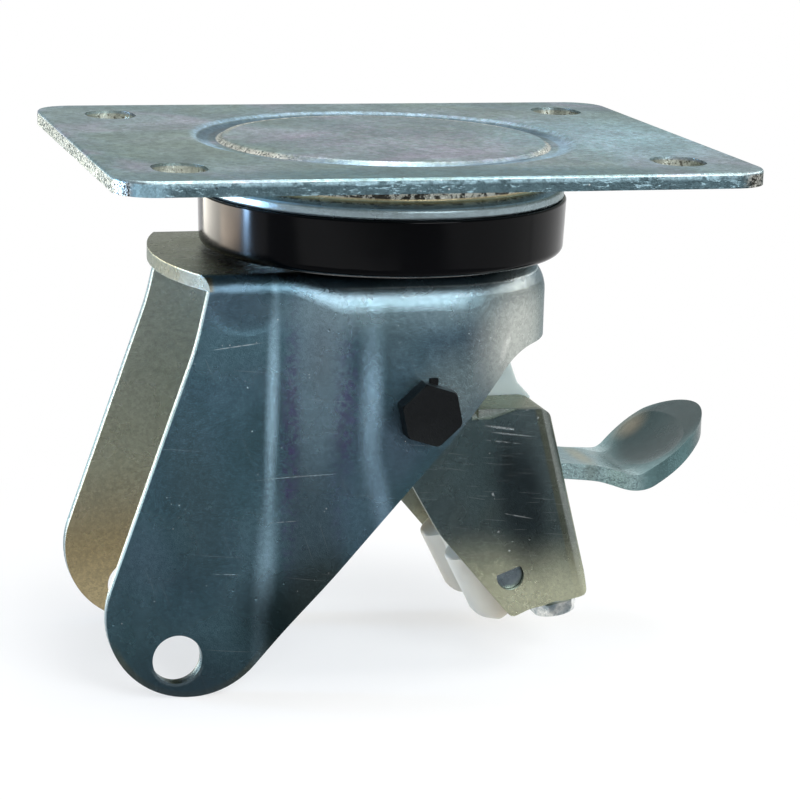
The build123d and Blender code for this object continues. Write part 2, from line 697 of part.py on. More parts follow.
with BuildPart() as brake_housing:
    with BuildSketch(wall_plane) as channel_plan:
        with Locations((-2 * housing_half_width, 0)):
            Rectangle(4 * housing_half_width, 2 * housing_half_width)
        fillet(channel_plan.vertices().group_by(Axis.X)[-1], housing_bend)
    extrude(amount=4 * housing_half_width, both=True)
    with BuildSketch(Plane.XZ):
        with BuildLine():
            ThreePointArc(ear_top, on_circle(pivot, ear_radius, 140), ear_front)
            edge = FilletPolyline(
                ear_front, front_knee, toe, foot_front, back_foot, back_lower, tab_corner,
                at(tab_front_x, tab_drop),
                radius=[
                    front_knee_radius, toe_radius, foot_front_radius, foot_corner_radius, wall_knee_radius,
                    tab_corner_radius,
                ],
            )
            Polyline(edge @ 1, notch_front, ear_top)
        make_face()
    extrude(amount=housing_half_width, both=True, mode=Mode.INTERSECT)
    add(housing_hollow.part, mode=Mode.SUBTRACT)
    # pivot bore in the ears
    with BuildSketch(Plane.XZ):
        with Locations(pivot):
            Circle(sleeve_radius + sleeve_gap)
    extrude(amount=2 * housing_half_width, both=True, mode=Mode.SUBTRACT)
    # the tab stands clear of the side plates' top edges at its front
    for side in (-1, 1):
        with BuildSketch(Plane.XZ.offset(side * (notch_half_width + housing_half_width) / 2)):
            with BuildLine():
                Polyline(
                    (tab_front_x - notch_depth, notch_front[1]),
                    (notch_deep_x, notch_front[1]),
                    (notch_back_x, -tab_drop),
                    (notch_back_x, -tab_drop + notch_depth),
                    (tab_front_x - notch_depth, -tab_drop + notch_depth),
                    close=True,
                )
            make_face()
        extrude(amount=(housing_half_width - notch_half_width) / 2, both=True, mode=Mode.SUBTRACT)
    # window for the swivel lock through the tab and the top of the back wall
    with BuildSketch(Plane.XZ):
        with Locations((lock_window_front_x + lock_window_run / 2, -tab_drop)):
            Rectangle(lock_window_run, 2 * lock_window_depth)
    extrude(amount=lock_half_width + lock_window_gap, both=True, mode=Mode.SUBTRACT)
    # slot for the pedal
    with BuildSketch(Plane.XZ):
        with Locations(at(pedal_x, pedal_drop)):
            Rectangle(4 * housing_sheet, 2 * pedal_slot_half_height)
    extrude(amount=pedal_neck_half_width + pedal_slot_gap, both=True, mode=Mode.SUBTRACT)
    # D holes for the shoe pin
    with BuildSketch(Plane.XZ):
        with Locations(Location(at(shoe_pin_x, shoe_pin_drop), shoe_pin_turn)):
            Circle(shoe_pin_radius + d_hole_gap)
            with Locations((0, shoe_pin_flat + d_hole_gap + shoe_pin_radius)):
                Rectangle(4 * shoe_pin_radius, 2 * shoe_pin_radius, mode=Mode.SUBTRACT)
    extrude(amount=2 * housing_half_width, both=True, mode=Mode.SUBTRACT)
    # hole for the adjusting screw in the foot tab, and the relief in the near side plate
    with BuildSketch(screw_plane.offset(-housing_sheet)):
        Circle(screw_radius + 0.3)
    extrude(amount=3 * housing_sheet, mode=Mode.SUBTRACT)
    with BuildSketch(Plane.XZ.offset(housing_inner + housing_sheet / 2)):
        with Locations((relief_x, foot_front[1] + 0.6 + relief_depth - relief_radius)):
            Circle(relief_radius)
    extrude(amount=2 * housing_sheet, both=True, mode=Mode.SUBTRACT)
brake_housing.part.label = "brake_housing"
export_step(brake_housing.part, "parts/brake_housing.step")

# ======================================== return spring, coiled on the sleeve beside the far ear
spring_start_y = housing_half_width + spring_side_gap + spring_wire_radius
spring_end_y = spring_start_y + spring_pitch * spring_turns
spring_top_z = spring_coil_radius - pivot_drop
edge_run = (notch_front[0] - ear_top[0], notch_front[1] - ear_top[1])
edge_length = sqrt(edge_run[0] ** 2 + edge_run[1] ** 2)
hook_stand = spring_wire_radius + spring_hook_gap
hook_x = ear_top[0] + spring_hook_place * edge_run[0] - hook_stand * edge_run[1] / edge_length
hook_z = ear_top[1] + spring_hook_place * edge_run[1] + hook_stand * edge_run[0] / edge_length
with BuildPart() as return_spring:
    with BuildLine() as coil:
        Helix(spring_pitch, spring_pitch * spring_turns, spring_coil_radius,
              center=(pivot_x, spring_start_y, -pivot_drop), direction=(0, 1, 0), lefthand=True)
    with BuildLine() as hook:
        FilletPolyline(
            (pivot_x, spring_start_y, spring_top_z),
            (ear_top[0], spring_start_y, spring_top_z),
            (hook_x, spring_start_y, hook_z),
            (hook_x, housing_inner - spring_leg_reach, hook_z),
            radius=spring_bend,
        )
    with BuildLine() as anchor:
        FilletPolyline(
            (pivot_x, spring_end_y, spring_top_z),
            (spring_anchor_x, spring_end_y, spring_top_z),
            (spring_anchor_x, drum_half_width - spring_leg_reach, spring_top_z),
            radius=spring_bend,
        )
    for path in (coil, hook, anchor):
        with BuildSketch(Plane(path.line @ 0, z_dir=path.line % 0)):
            Circle(spring_wire_radius)
        sweep(path=path.line, is_frenet=path is coil)
return_spring.part.label = "return_spring"
export_step(return_spring.part, "parts/return_spring.step")

# ======================================== shoe pin with D ends, flush inside the side plates
with BuildPart() as shoe_pin:
    with BuildSketch(Plane.XZ):
        with Locations(Location(at(shoe_pin_x, shoe_pin_drop), shoe_pin_turn)):
            Circle(shoe_pin_radius)
            with Locations((0, shoe_pin_flat + shoe_pin_radius)):
                Rectangle(4 * shoe_pin_radius, 2 * shoe_pin_radius, mode=Mode.SUBTRACT)
    extrude(amount=housing_half_width - shoe_pin_recess, both=True)
    with BuildSketch(Plane.XZ):
        with Locations(at(shoe_pin_x, shoe_pin_drop)):
            Circle(shoe_pin_radius)
    extrude(amount=housing_inner, both=True)
shoe_pin.part.label = "shoe_pin"
export_step(shoe_pin.part, "parts/shoe_pin.step")

# ======================================== adjusting screw and its press nut
screw_head_top = screw_plane.offset(-screw_head_gap)
with BuildPart() as adjusting_screw:
    with BuildSketch(screw_head_top):
        RegularPolygon(screw_head_flats / 2, 6, major_radius=False, rotation=screw_head_turn)
    extrude(amount=-screw_head_height)
    with BuildSketch(screw_plane.offset(-screw_head_gap - screw_head_height)):
        Circle(screw_head_flats / 2)
    extrude(amount=screw_head_height, taper=-30, mode=Mode.INTERSECT)
    with BuildSketch(screw_head_top):
        Circle(screw_radius)
    extrude(amount=screw_head_gap + housing_sheet + press_nut_height + screw_tip)
    chamfer(adjusting_screw.edges().filter_by(GeomType.CIRCLE).sort_by(Axis.Z)[-1], 0.5)
adjusting_screw.part.label = "adjusting_screw"
export_step(adjusting_screw.part, "parts/adjusting_screw.step")

with BuildPart() as press_nut:
    with BuildSketch(screw_plane.offset(housing_sheet)):
        Circle(press_nut_radius)
        Circle(screw_radius + screw_fit, mode=Mode.SUBTRACT)
    extrude(amount=press_nut_height)
press_nut.part.label = "press_nut"
export_step(press_nut.part, "parts/press_nut.step")

# ======================================== brake shoe, two rounded ridges towards the wheel
heel_lift = housing_sheet + press_nut_height + screw_tip + heel_gap
crest_run = (shoe_crest_foot[0] - shoe_crest_top[0], shoe_crest_foot[1] - shoe_crest_top[1])
crest_plane = Plane(
    (shoe_crest_top[0], 0, shoe_crest_top[1]), x_dir=(-crest_run[1], 0, crest_run[0]),
    z_dir=(crest_run[0], 0, crest_run[1]),
)
crest_length = sqrt(crest_run[0] ** 2 + crest_run[1] ** 2)
shoe_body_half = housing_inner - shoe_side_play
with BuildPart() as brake_shoe:
    with BuildSketch(crest_plane):
        with Locations((shoe_ridge_radius, 0)):
            with GridLocations(0, shoe_ridge_spacing, 1, 2):
                Circle(shoe_ridge_radius)
        with Locations((shoe_groove_depth + crest_length, 0)):
            Rectangle(2 * crest_length, shoe_ridge_spacing)
        with Locations((shoe_ridge_radius + crest_length, 0)):
            Rectangle(2 * crest_length, shoe_ridge_spacing + 2 * shoe_ridge_radius)
        with Locations((shoe_body_depth + 2 * crest_length, 0)):
            Rectangle(4 * crest_length, 2 * shoe_body_half)
    extrude(amount=2 * crest_length, both=True)
    with BuildSketch(Plane.XZ):
        with BuildLine():
            FilletPolyline(
                shoe_crest_top,
                shoe_crest_foot,
                shoe_toe,
                shoe_toe_back,
                foot_point(heel_front_x - heel_slope_run, housing_sheet),
                foot_point(heel_front_x, heel_lift),
                foot_point(heel_back_x, heel_lift),
                foot_point(heel_back_x, heel_lift + heel_height),
                shoe_top_back,
                radius=[
                    shoe_top_radius, shoe_foot_radius, shoe_toe_radius, shoe_edge_radius,
                    2 * shoe_edge_radius, shoe_edge_radius, shoe_edge_radius, shoe_edge_radius,
                    shoe_edge_radius,
                ],
                close=True,
            )
        make_face()
    extrude(amount=housing_inner, both=True, mode=Mode.INTERSECT)
    with BuildSketch(Plane.XZ):
        with Locations(at(shoe_pin_x, shoe_pin_drop)):
            Circle(shoe_pin_radius + shoe_pin_gap)
    extrude(amount=housing_half_width, both=True, mode=Mode.SUBTRACT)
brake_shoe.part.label = "brake_shoe"
export_step(brake_shoe.part, "parts/brake_shoe.step")

# ======================================== swivel lock
lock_nose_top = tooth_under - lock_nose_gap
lock_shoulder = lock_nose_top - lock_nose_height
lock_foot = pedal_arm_rise - pedal_drop + pedal_sheet / 2 + lock_foot_gap
with BuildPart() as swivel_lock:
    with BuildSketch(Plane.XZ):
        with BuildLine():
            FilletPolyline(
                (lock_front_x, lock_nose_top),
                (lock_nose_back_x, lock_nose_top),
                at(lock_neck_x, lock_bulge_drop - lock_neck_rise),
                at(lock_barb_x, lock_bulge_drop - lock_barb_rise),
                at(lock_back_x + lock_bulge, lock_bulge_drop - lock_bulge_height),
                at(lock_back_x + lock_bulge, lock_bulge_drop),
                at(lock_back_x, lock_bulge_drop + lock_bulge),
                (lock_back_x, lock_foot),
                (lock_front_x, lock_foot),
                radius=lock_edge_radius, close=True,
            )
        make_face()
    extrude(amount=lock_half_width, both=True)
    for side in (-1, 1):
        with BuildSketch(Plane.XY.offset(lock_shoulder)):
            with Locations((lock_front_x, side * (lock_nose_half_width + lock_half_width))):
                Rectangle(6 * lock_half_width, 2 * lock_half_width)
        extrude(amount=2 * lock_nose_height, mode=Mode.SUBTRACT)
swivel_lock.part.label = "swivel_lock"
export_step(swivel_lock.part, "parts/swivel_lock.step")

# ======================================== pedal, bent from one plate and dished at its pad
def pedal_point(run, rise):
    """A point of the pedal's middle line, measured from its rocking axis."""
    return (pedal_x + run, rise - pedal_drop)


pad_slope = atan2(pedal_toe_rise - pedal_heel_rise, pedal_toe_run - pedal_heel_run)
dish_half_run = pedal_end_run - pedal_dish_run - pedal_dish_rim
dish_half_width = pedal_pad_half_width - pedal_dish_rim
dish_radius_along = dish_half_run ** 2 / (2 * pedal_dish_depth)
dish_radius_across = dish_half_width ** 2 / (2 * pedal_dish_depth)
dish_rise = pedal_heel_rise + (pedal_dish_run - pedal_heel_run) * sin(pad_slope) / cos(pad_slope)


def above_pad(height):
    """A point at a height above the bottom of the pad's hollow."""
    reach = height + pedal_sheet / 2 - pedal_dish_depth
    return pedal_point(pedal_dish_run - reach * sin(pad_slope), dish_rise + reach * cos(pad_slope))


dish_axis_point = above_pad(dish_radius_across)
dish_axis = Axis((dish_axis_point[0], 0, dish_axis_point[1]), (cos(pad_slope), 0, sin(pad_slope)))
with BuildPart() as pad_dish:
    with BuildSketch(Plane.XZ):
        with Locations(above_pad(dish_radius_along)):
            Circle(dish_radius_along)
    revolve(axis=dish_axis)
    with BuildSketch(Plane.XY.offset(-2 * pedal_drop)):
        with Locations((pedal_x + pedal_dish_run, 0)):
            Ellipse(dish_half_run, dish_half_width)
    extrude(amount=2 * pedal_drop, mode=Mode.INTERSECT)

with BuildPart() as pedal:
    with BuildSketch(Plane.XZ):
        with BuildLine():
            FilletPolyline(
                pedal_point(-pedal_arm_run, pedal_arm_rise),
                pedal_point(-pedal_arm_bend_run, pedal_arm_bend_rise),
                pedal_point(pedal_sheet, 0),
                pedal_point(pedal_slope_run, pedal_slope_rise),
                pedal_point(pedal_heel_run, pedal_heel_rise),
                pedal_point(pedal_toe_run, pedal_toe_rise),
                pedal_point(pedal_tip_run, pedal_tip_rise),
                radius=[
                    pedal_bend_radius, pedal_straight_radius, pedal_straight_radius,
                    pedal_bend_radius, pedal_tip_radius,
                ],
            )
            offset(amount=pedal_sheet / 2)
        make_face()
    extrude(amount=2 * pedal_pad_half_width, both=True)
    with BuildSketch(Plane.XY.offset(-2 * pedal_drop)):
        with BuildLine():
            rim = Spline(
                (pedal_x + pedal_neck_run, pedal_neck_half_width),
                (pedal_x + pedal_flare_run, pedal_flare_half_width),
                (pedal_x + pedal_pad_run, pedal_pad_half_width),
                (pedal_x + pedal_end_run, 0),
                tangents=((1, 0), (0, -1)),
            )
            mirror(rim, about=Plane.XZ)
            Line(rim @ 0, (pedal_x + pedal_neck_run, -pedal_neck_half_width))
        make_face()
        with Locations((pedal_x + (pedal_neck_run - pedal_shoulder_run) / 2, 0)):
            Rectangle(pedal_neck_run + pedal_shoulder_run, 2 * pedal_neck_half_width)
        with Locations(((pedal_x - pedal_shoulder_run) / 2, 0)):
            Rectangle(pedal_x - pedal_shoulder_run, 2 * pedal_shoulder_half_width)
    extrude(amount=2 * pedal_drop, mode=Mode.INTERSECT)
    add(pad_dish.part, mode=Mode.SUBTRACT)
pedal.part.label = "pedal"
export_step(pedal.part, "parts/pedal.step")
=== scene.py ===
import math
import bpy
import bmesh
from mathutils import Matrix, Vector


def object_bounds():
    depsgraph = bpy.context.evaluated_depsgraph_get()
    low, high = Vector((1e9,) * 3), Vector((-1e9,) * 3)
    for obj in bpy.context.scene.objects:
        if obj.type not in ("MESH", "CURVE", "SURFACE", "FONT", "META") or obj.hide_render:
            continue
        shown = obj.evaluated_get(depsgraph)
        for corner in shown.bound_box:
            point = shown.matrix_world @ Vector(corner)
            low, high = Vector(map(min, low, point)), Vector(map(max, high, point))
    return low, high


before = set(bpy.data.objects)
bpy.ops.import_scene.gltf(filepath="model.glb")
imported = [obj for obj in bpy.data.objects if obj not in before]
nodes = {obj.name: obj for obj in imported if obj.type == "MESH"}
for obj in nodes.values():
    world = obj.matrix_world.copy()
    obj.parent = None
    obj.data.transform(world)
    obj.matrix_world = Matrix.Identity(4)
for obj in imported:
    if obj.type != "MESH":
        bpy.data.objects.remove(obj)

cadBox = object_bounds()
millimetre = 0.001
print("frame loaded:", len(nodes), "nodes")


# shading helpers: most return the socket that carries their result

hairline = {
    "bendScale": 40.0, "bend": 0.002, "depthScale": 8.0, "picked": (0.62, 0.64), "width": 0.00012,
    "ends": (0.1, 0.42),
}
# noise settings are detail, roughness and distortion
ragged = {"noise": (4.0, 0.65, 0.8), "kept": (0.42, 0.60)}
tornGrain = {"noise": (3.0, 0.75, 0.3), "softness": 0.05}


def addNode(tree, kind, inputs=None, **settings):
    node = tree.nodes.new(kind)
    for key, value in settings.items():
        setattr(node, key, value)
    for key, value in (inputs or {}).items():
        if isinstance(value, bpy.types.NodeSocket):
            tree.links.new(value, node.inputs[key])
        else:
            node.inputs[key].default_value = value
    return node


def calc(tree, operation, first, second=0.0, clamp=False):
    node = addNode(tree, "ShaderNodeMath", {0: first, 1: second}, operation=operation)
    node.use_clamp = clamp
    return node.outputs[0]


def spread(tree, value, low, high, toLow=0.0, toHigh=1.0):
    # smooth step of a value between low and high
    inputs = {"Value": value, "From Min": low, "From Max": high, "To Min": toLow, "To Max": toHigh}
    node = addNode(tree, "ShaderNodeMapRange", inputs, interpolation_type="SMOOTHSTEP")
    return node.outputs["Result"]


def mixed(tree, amount, first, second):
    node = addNode(tree, "ShaderNodeMix", data_type="RGBA")
    for key, value in ((0, amount), (6, first), (7, second)):
        if isinstance(value, bpy.types.NodeSocket):
            tree.links.new(value, node.inputs[key])
        elif key == 0:
            node.inputs[key].default_value = value
        else:
            node.inputs[key].default_value = (*value, 1.0)
    return node.outputs[2]


def placeOf(tree):
    return addNode(tree, "ShaderNodeTexCoord").outputs["Object"]


def localTo(tree, place, centre=(0, 0, 0), turn=(0, 0, 0), size=(1, 1, 1)):
    # the place as seen from a small frame at centre, turned and scaled
    inputs = {"Vector": place, "Location": centre, "Rotation": turn, "Scale": size}
    return addNode(tree, "ShaderNodeMapping", inputs, vector_type="TEXTURE").outputs[0]


def noiseOf(tree, place, scale, detail=3.0, roughness=0.55, distortion=0.0):
    inputs = {"Vector": place, "Scale": scale, "Detail": detail, "Roughness": roughness,
              "Distortion": distortion}
    return addNode(tree, "ShaderNodeTexNoise", inputs).outputs["Fac"]


def cellsOf(tree, place, scale, output="Distance"):
    return addNode(tree, "ShaderNodeTexVoronoi", {"Vector": place, "Scale": scale}).outputs[output]


def spotOf(tree, place, centre, radii, turn=0.0, core=0.0):
    # 1 inside an ellipsoid, falling to 0 at its edge; turn is about Y
    local = localTo(tree, place, centre, (0, turn, 0), radii)
    length = addNode(tree, "ShaderNodeVectorMath", {0: local}, operation="LENGTH").outputs["Value"]
    return spread(tree, length, core, 1.0, 1.0, 0.0)


def partsOf(tree, place):
    node = addNode(tree, "ShaderNodeSeparateXYZ", {0: place})
    return node.outputs[0], node.outputs[1], node.outputs[2]


def newLook(name):
    look = bpy.data.materials.new(name)
    look.use_nodes = True
    tree = look.node_tree
    tree.nodes.clear()
    shader = addNode(tree, "ShaderNodeBsdfPrincipled")
    output = addNode(tree, "ShaderNodeOutputMaterial")
    tree.links.new(shader.outputs[0], output.inputs[0])
    return look, tree, shader


def feed(tree, socket, value):
    if isinstance(value, bpy.types.NodeSocket):
        tree.links.new(value, socket)
    else:
        socket.default_value = value


def bumped(tree, height, strength, distance, under=None):
    inputs = {"Height": height, "Strength": strength, "Distance": distance}
    if under is not None:
        inputs["Normal"] = under
    return addNode(tree, "ShaderNodeBump", inputs).outputs[0]


def absolute(tree, value):
    return calc(tree, "ABSOLUTE", value)


def greyOf(tree, colour):
    return addNode(tree, "ShaderNodeRGBToBW", {0: colour}).outputs[0]


def vectorOf(tree, operation, first, second):
    node = addNode(tree, "ShaderNodeVectorMath", {0: first, 1: second}, operation=operation)
    return node.outputs[0]


def lengthOf(tree, first, second):
    squares = [calc(tree, "MULTIPLY", side, side) for side in (first, second)]
    return calc(tree, "SQRT", calc(tree, "ADD", *squares))


def both(tree, *masks):
    result = masks[0]
    for mask in masks[1:]:
        result = calc(tree, "MULTIPLY", result, mask)
    return result


def between(tree, value, low, high):
    # 1 between two soft limits, each a pair of values where the mask is 0 and where it is 1
    return both(tree, spread(tree, value, *high), spread(tree, value, *low))


def laid(tree, mask, colour, tone, amount=1.0):
    # a tone over a colour, where the mask says
    if amount < 1.0:
        mask = calc(tree, "MULTIPLY", mask, amount)
    return mixed(tree, mask, colour, tone)


def scratchesOf(tree, place, turn, length, gap, amount, seed):
    # hairlines along X turned by an angle about Y, in the faces that look along Y: sparse and broken
    local = localTo(tree, place, (seed, 0, seed * 2), (0, turn, 0))
    bent = noiseOf(tree, place, hairline["bendScale"], detail=1.0, roughness=0.5)
    lift = addNode(tree, "ShaderNodeCombineXYZ", {2: calc(tree, "MULTIPLY", bent, hairline["bend"])})
    shifted = vectorOf(tree, "ADD", local, lift.outputs[0])
    cells = vectorOf(tree, "MULTIPLY", shifted, (1 / length, hairline["depthScale"], 1 / gap))
    across = addNode(tree, "ShaderNodeTexVoronoi", {"Vector": cells, "Scale": 1.0})
    picked = spread(tree, greyOf(tree, across.outputs["Color"]), *hairline["picked"])
    inCell = vectorOf(tree, "SUBTRACT", cells, across.outputs["Position"])
    alongPart, _, upPart = partsOf(tree, inCell)
    thin = spread(tree, absolute(tree, upPart), 0.0, hairline["width"] / gap, 1.0, 0.0)
    short = spread(tree, absolute(tree, alongPart), *hairline["ends"], 1.0, 0.0)
    return calc(tree, "MULTIPLY", both(tree, thin, short, picked), amount)


def spottedTintsAndLight(tree, place, colour, tintsAndPaintedLight):
    # lays soft or ragged spots of colour over a finish: real tints, painted highlights, painted
    # reflections and painted shade
    for centre, radii, tone, amount, turn, core, raggedScale in tintsAndPaintedLight:
        mask = spotOf(tree, place, centre, radii, turn, core)
        if raggedScale:
            torn = noiseOf(tree, place, raggedScale, *ragged["noise"])
            mask = both(tree, mask, spread(tree, torn, *ragged["kept"]))
        colour = laid(tree, mask, colour, tone, amount)
    return colour


def speckled(tree, place, tone, other, grain):
    # coarse torn grain of two tones, as a sheared or pitted face has
    scale, part = grain
    soft = tornGrain["softness"]
    torn = noiseOf(tree, place, scale, *tornGrain["noise"])
    return mixed(tree, spread(tree, torn, part - soft, part + soft), tone, other)


def zincLook(name, values, zoning=None):
    # plated steel: two tones in soft clouds, crystal grain, spots of tint and painted light,
    # scratches and pits
    look, tree, shader = newLook(name)
    place = placeOf(tree)
    stretched = localTo(tree, place, size=values["stretch"])
    clouds = noiseOf(tree, stretched, values["cloudScale"], *values["cloudNoise"])
    colour = mixed(tree, spread(tree, clouds, *values["cloudSteps"]), values["dark"], values["light"])
    sheen = noiseOf(tree, place, values["sheenScale"], *values["sheenNoise"])
    for steps, tone in (("warmSteps", "sheenA"), ("coldSteps", "sheenB")):
        mask = spread(tree, sheen, *values[steps], 0.0, values["sheenAmount"])
        colour = mixed(tree, mask, colour, values[tone])
    if zoning:
        colour = zoning(tree, place, colour)
    colour = spottedTintsAndLight(tree, place, colour, values.get("tintsAndPaintedLight", []))

    # crystal grain: cells and fine noise lighten and darken the colour
    depth = values["grainDepth"]
    cells = greyOf(tree, cellsOf(tree, place, values["grainScale"], "Color"))
    fine = noiseOf(tree, place, values["grainScale"] * values["fineRatio"], *values["fineNoise"])
    tone = calc(tree, "ADD", spread(tree, cells, *values["cellSteps"], -depth, depth),
                spread(tree, fine, *values["fineSteps"], -depth, depth))
    tone = calc(tree, "ADD", tone, 1.0)
    toned = addNode(tree, "ShaderNodeVectorMath", {0: colour, "Scale": tone}, operation="SCALE")
    toned = toned.outputs[0]

    # hairlines all over, then single marks
    scratches = None
    for turn, length, gap, amount, seed in values.get("scratches", []):
        mark = scratchesOf(tree, place, turn, length, gap, amount, seed)
        scratches = mark if scratches is None else calc(tree, "MAXIMUM", scratches, mark)
    for centre, radii, turn, amount in values.get("marks", []):
        mark = spotOf(tree, place, centre, radii, turn, values["markCore"])
        broken = noiseOf(tree, place, values["markScale"], *values["markNoise"])
        broken = spread(tree, broken, *values["markBreaks"])
        mark = calc(tree, "MULTIPLY", both(tree, mark, broken), amount)
        scratches = mark if scratches is None else calc(tree, "MAXIMUM", scratches, mark)
    if scratches is not None:
        toned = mixed(tree, scratches, toned, values["scratchColour"])

    # bright specks and dark pits, both in loose patches
    patches = noiseOf(tree, place, values["speckPatchScale"], values["patchDetail"])
    specks = spread(tree, cellsOf(tree, place, values["speckScale"]), *values["speckSize"])
    specks = both(tree, specks, spread(tree, patches, *values["speckPatches"]))
    toned = laid(tree, specks, toned, values["scratchColour"], values["speckAmount"])
    patchScale = values["pitScale"] * values["pitPatchRatio"]
    patches = noiseOf(tree, place, patchScale, values["patchDetail"])
    pits = spread(tree, cellsOf(tree, place, values["pitScale"]), *values["pitSize"])
    pits = both(tree, pits, spread(tree, patches, *values["pitPatches"]))
    toned = laid(tree, pits, toned, values["pitColour"], values["pitAmount"])

    feed(tree, shader.inputs["Base Color"], toned)
    shader.inputs["Metallic"].default_value = values.get("metallic", 1.0)
    shader.inputs["Specular IOR Level"].default_value = values.get("specular", 0.5)
    shader.inputs["Specular Tint"].default_value = (*values.get("edgeTint", (1.0, 1.0, 1.0)), 1.0)
    rough = noiseOf(tree, place, values["roughScale"], *values["roughNoise"])
    rough = spread(tree, rough, *values["roughSteps"], *values["rough"])
    pitRough = calc(tree, "MULTIPLY", pits, values["pitRough"])
    feed(tree, shader.inputs["Roughness"], calc(tree, "ADD", rough, pitRough, clamp=True))

    # soft waves, pressed marks, grain, scratches and pits in the surface
    waves = noiseOf(tree, place, values["waveScale"], *values["waveNoise"])
    normal = bumped(tree, waves, *values["waveBump"])
    for centre, radii, height, turn, core in values.get("pressed", []):
        mark = calc(tree, "MULTIPLY", spotOf(tree, place, centre, radii, turn, core), height)
        normal = bumped(tree, mark, 1.0, millimetre, normal)
    normal = bumped(tree, fine, *values["grainBump"], normal)
    if scratches is not None:
        normal = bumped(tree, calc(tree, "SUBTRACT", 1.0, scratches), *values["scratchBump"], normal)
    normal = bumped(tree, calc(tree, "SUBTRACT", 1.0, pits), *values["pitBump"], normal)
    feed(tree, shader.inputs["Normal"], normal)
    return look


def plasticLook(name, values):
    look, tree, shader = newLook(name)
    place = placeOf(tree)
    clouds = noiseOf(tree, place, values["cloudScale"], *values["cloudNoise"])
    colour = mixed(tree, spread(tree, clouds, *values["cloudSteps"]), values["dark"], values["light"])
    feed(tree, shader.inputs["Base Color"], colour)
    shader.inputs["Specular IOR Level"].default_value = values.get("specular", 0.5)
    rough = noiseOf(tree, place, values["roughScale"], *values["fineNoise"])
    rough = spread(tree, rough, *values["roughSteps"], *values["rough"])
    feed(tree, shader.inputs["Roughness"], rough)
    if "glow" in values:
        shader.inputs["Subsurface Weight"].default_value = values["glow"]
        shader.inputs["Subsurface Radius"].default_value = values["glowReach"]
        shader.inputs["Subsurface Scale"].default_value = values["glowScale"]
    waves = noiseOf(tree, place, values["bumpScale"], *values["fineNoise"])
    feed(tree, shader.inputs["Normal"], bumped(tree, waves, *values["bump"]))
    return look


def dress(name, look):
    for slot in nodes[name].material_slots:
        slot.material = look


# materials

baseZinc = {
    # tones and their clouds
    "stretch": (1, 1, 1), "cloudScale": 22.0, "cloudNoise": (4.0, 0.6, 0.4),
    "cloudSteps": (0.3, 0.7), "sheenScale": 16.0, "sheenNoise": (2.0, 0.5, 1.2),
    "sheenAmount": 0.25, "warmSteps": (0.45, 0.75), "coldSteps": (0.55, 0.25),
    # crystal grain and gloss
    "grainScale": 900.0, "grainDepth": 0.07, "fineRatio": 2.6, "fineNoise": (3.0, 0.7),
    "cellSteps": (0.1, 0.9), "fineSteps": (0.3, 0.7), "rough": (0.20, 0.32), "roughScale": 60.0,
    "roughNoise": (4.0, 0.65), "roughSteps": (0.3, 0.7),
    # marks, specks and pits
    "scratchColour": (0.75, 0.80, 0.82), "markCore": 0.4, "markScale": 420.0,
    "markNoise": (2.0, 0.6), "markBreaks": (0.38, 0.50), "patchDetail": 2.0,
    "speckScale": 330.0, "speckAmount": 0.35, "speckSize": (0.13, 0.05), "speckPatchScale": 150.0,
    "speckPatches": (0.58, 0.66), "pitScale": 260.0, "pitAmount": 0.5, "pitSize": (0.10, 0.02),
    "pitPatchRatio": 0.21, "pitPatches": (0.56, 0.66), "pitRough": 0.3,
    "pitColour": (0.03, 0.025, 0.02),
    # bumps: strength and depth
    "waveScale": 30.0, "waveNoise": (2.0, 0.5), "waveBump": (0.06, 0.002),
    "grainBump": (0.4, 0.0002), "scratchBump": (0.25, 0.0001), "pitBump": (0.6, 0.0002),
}
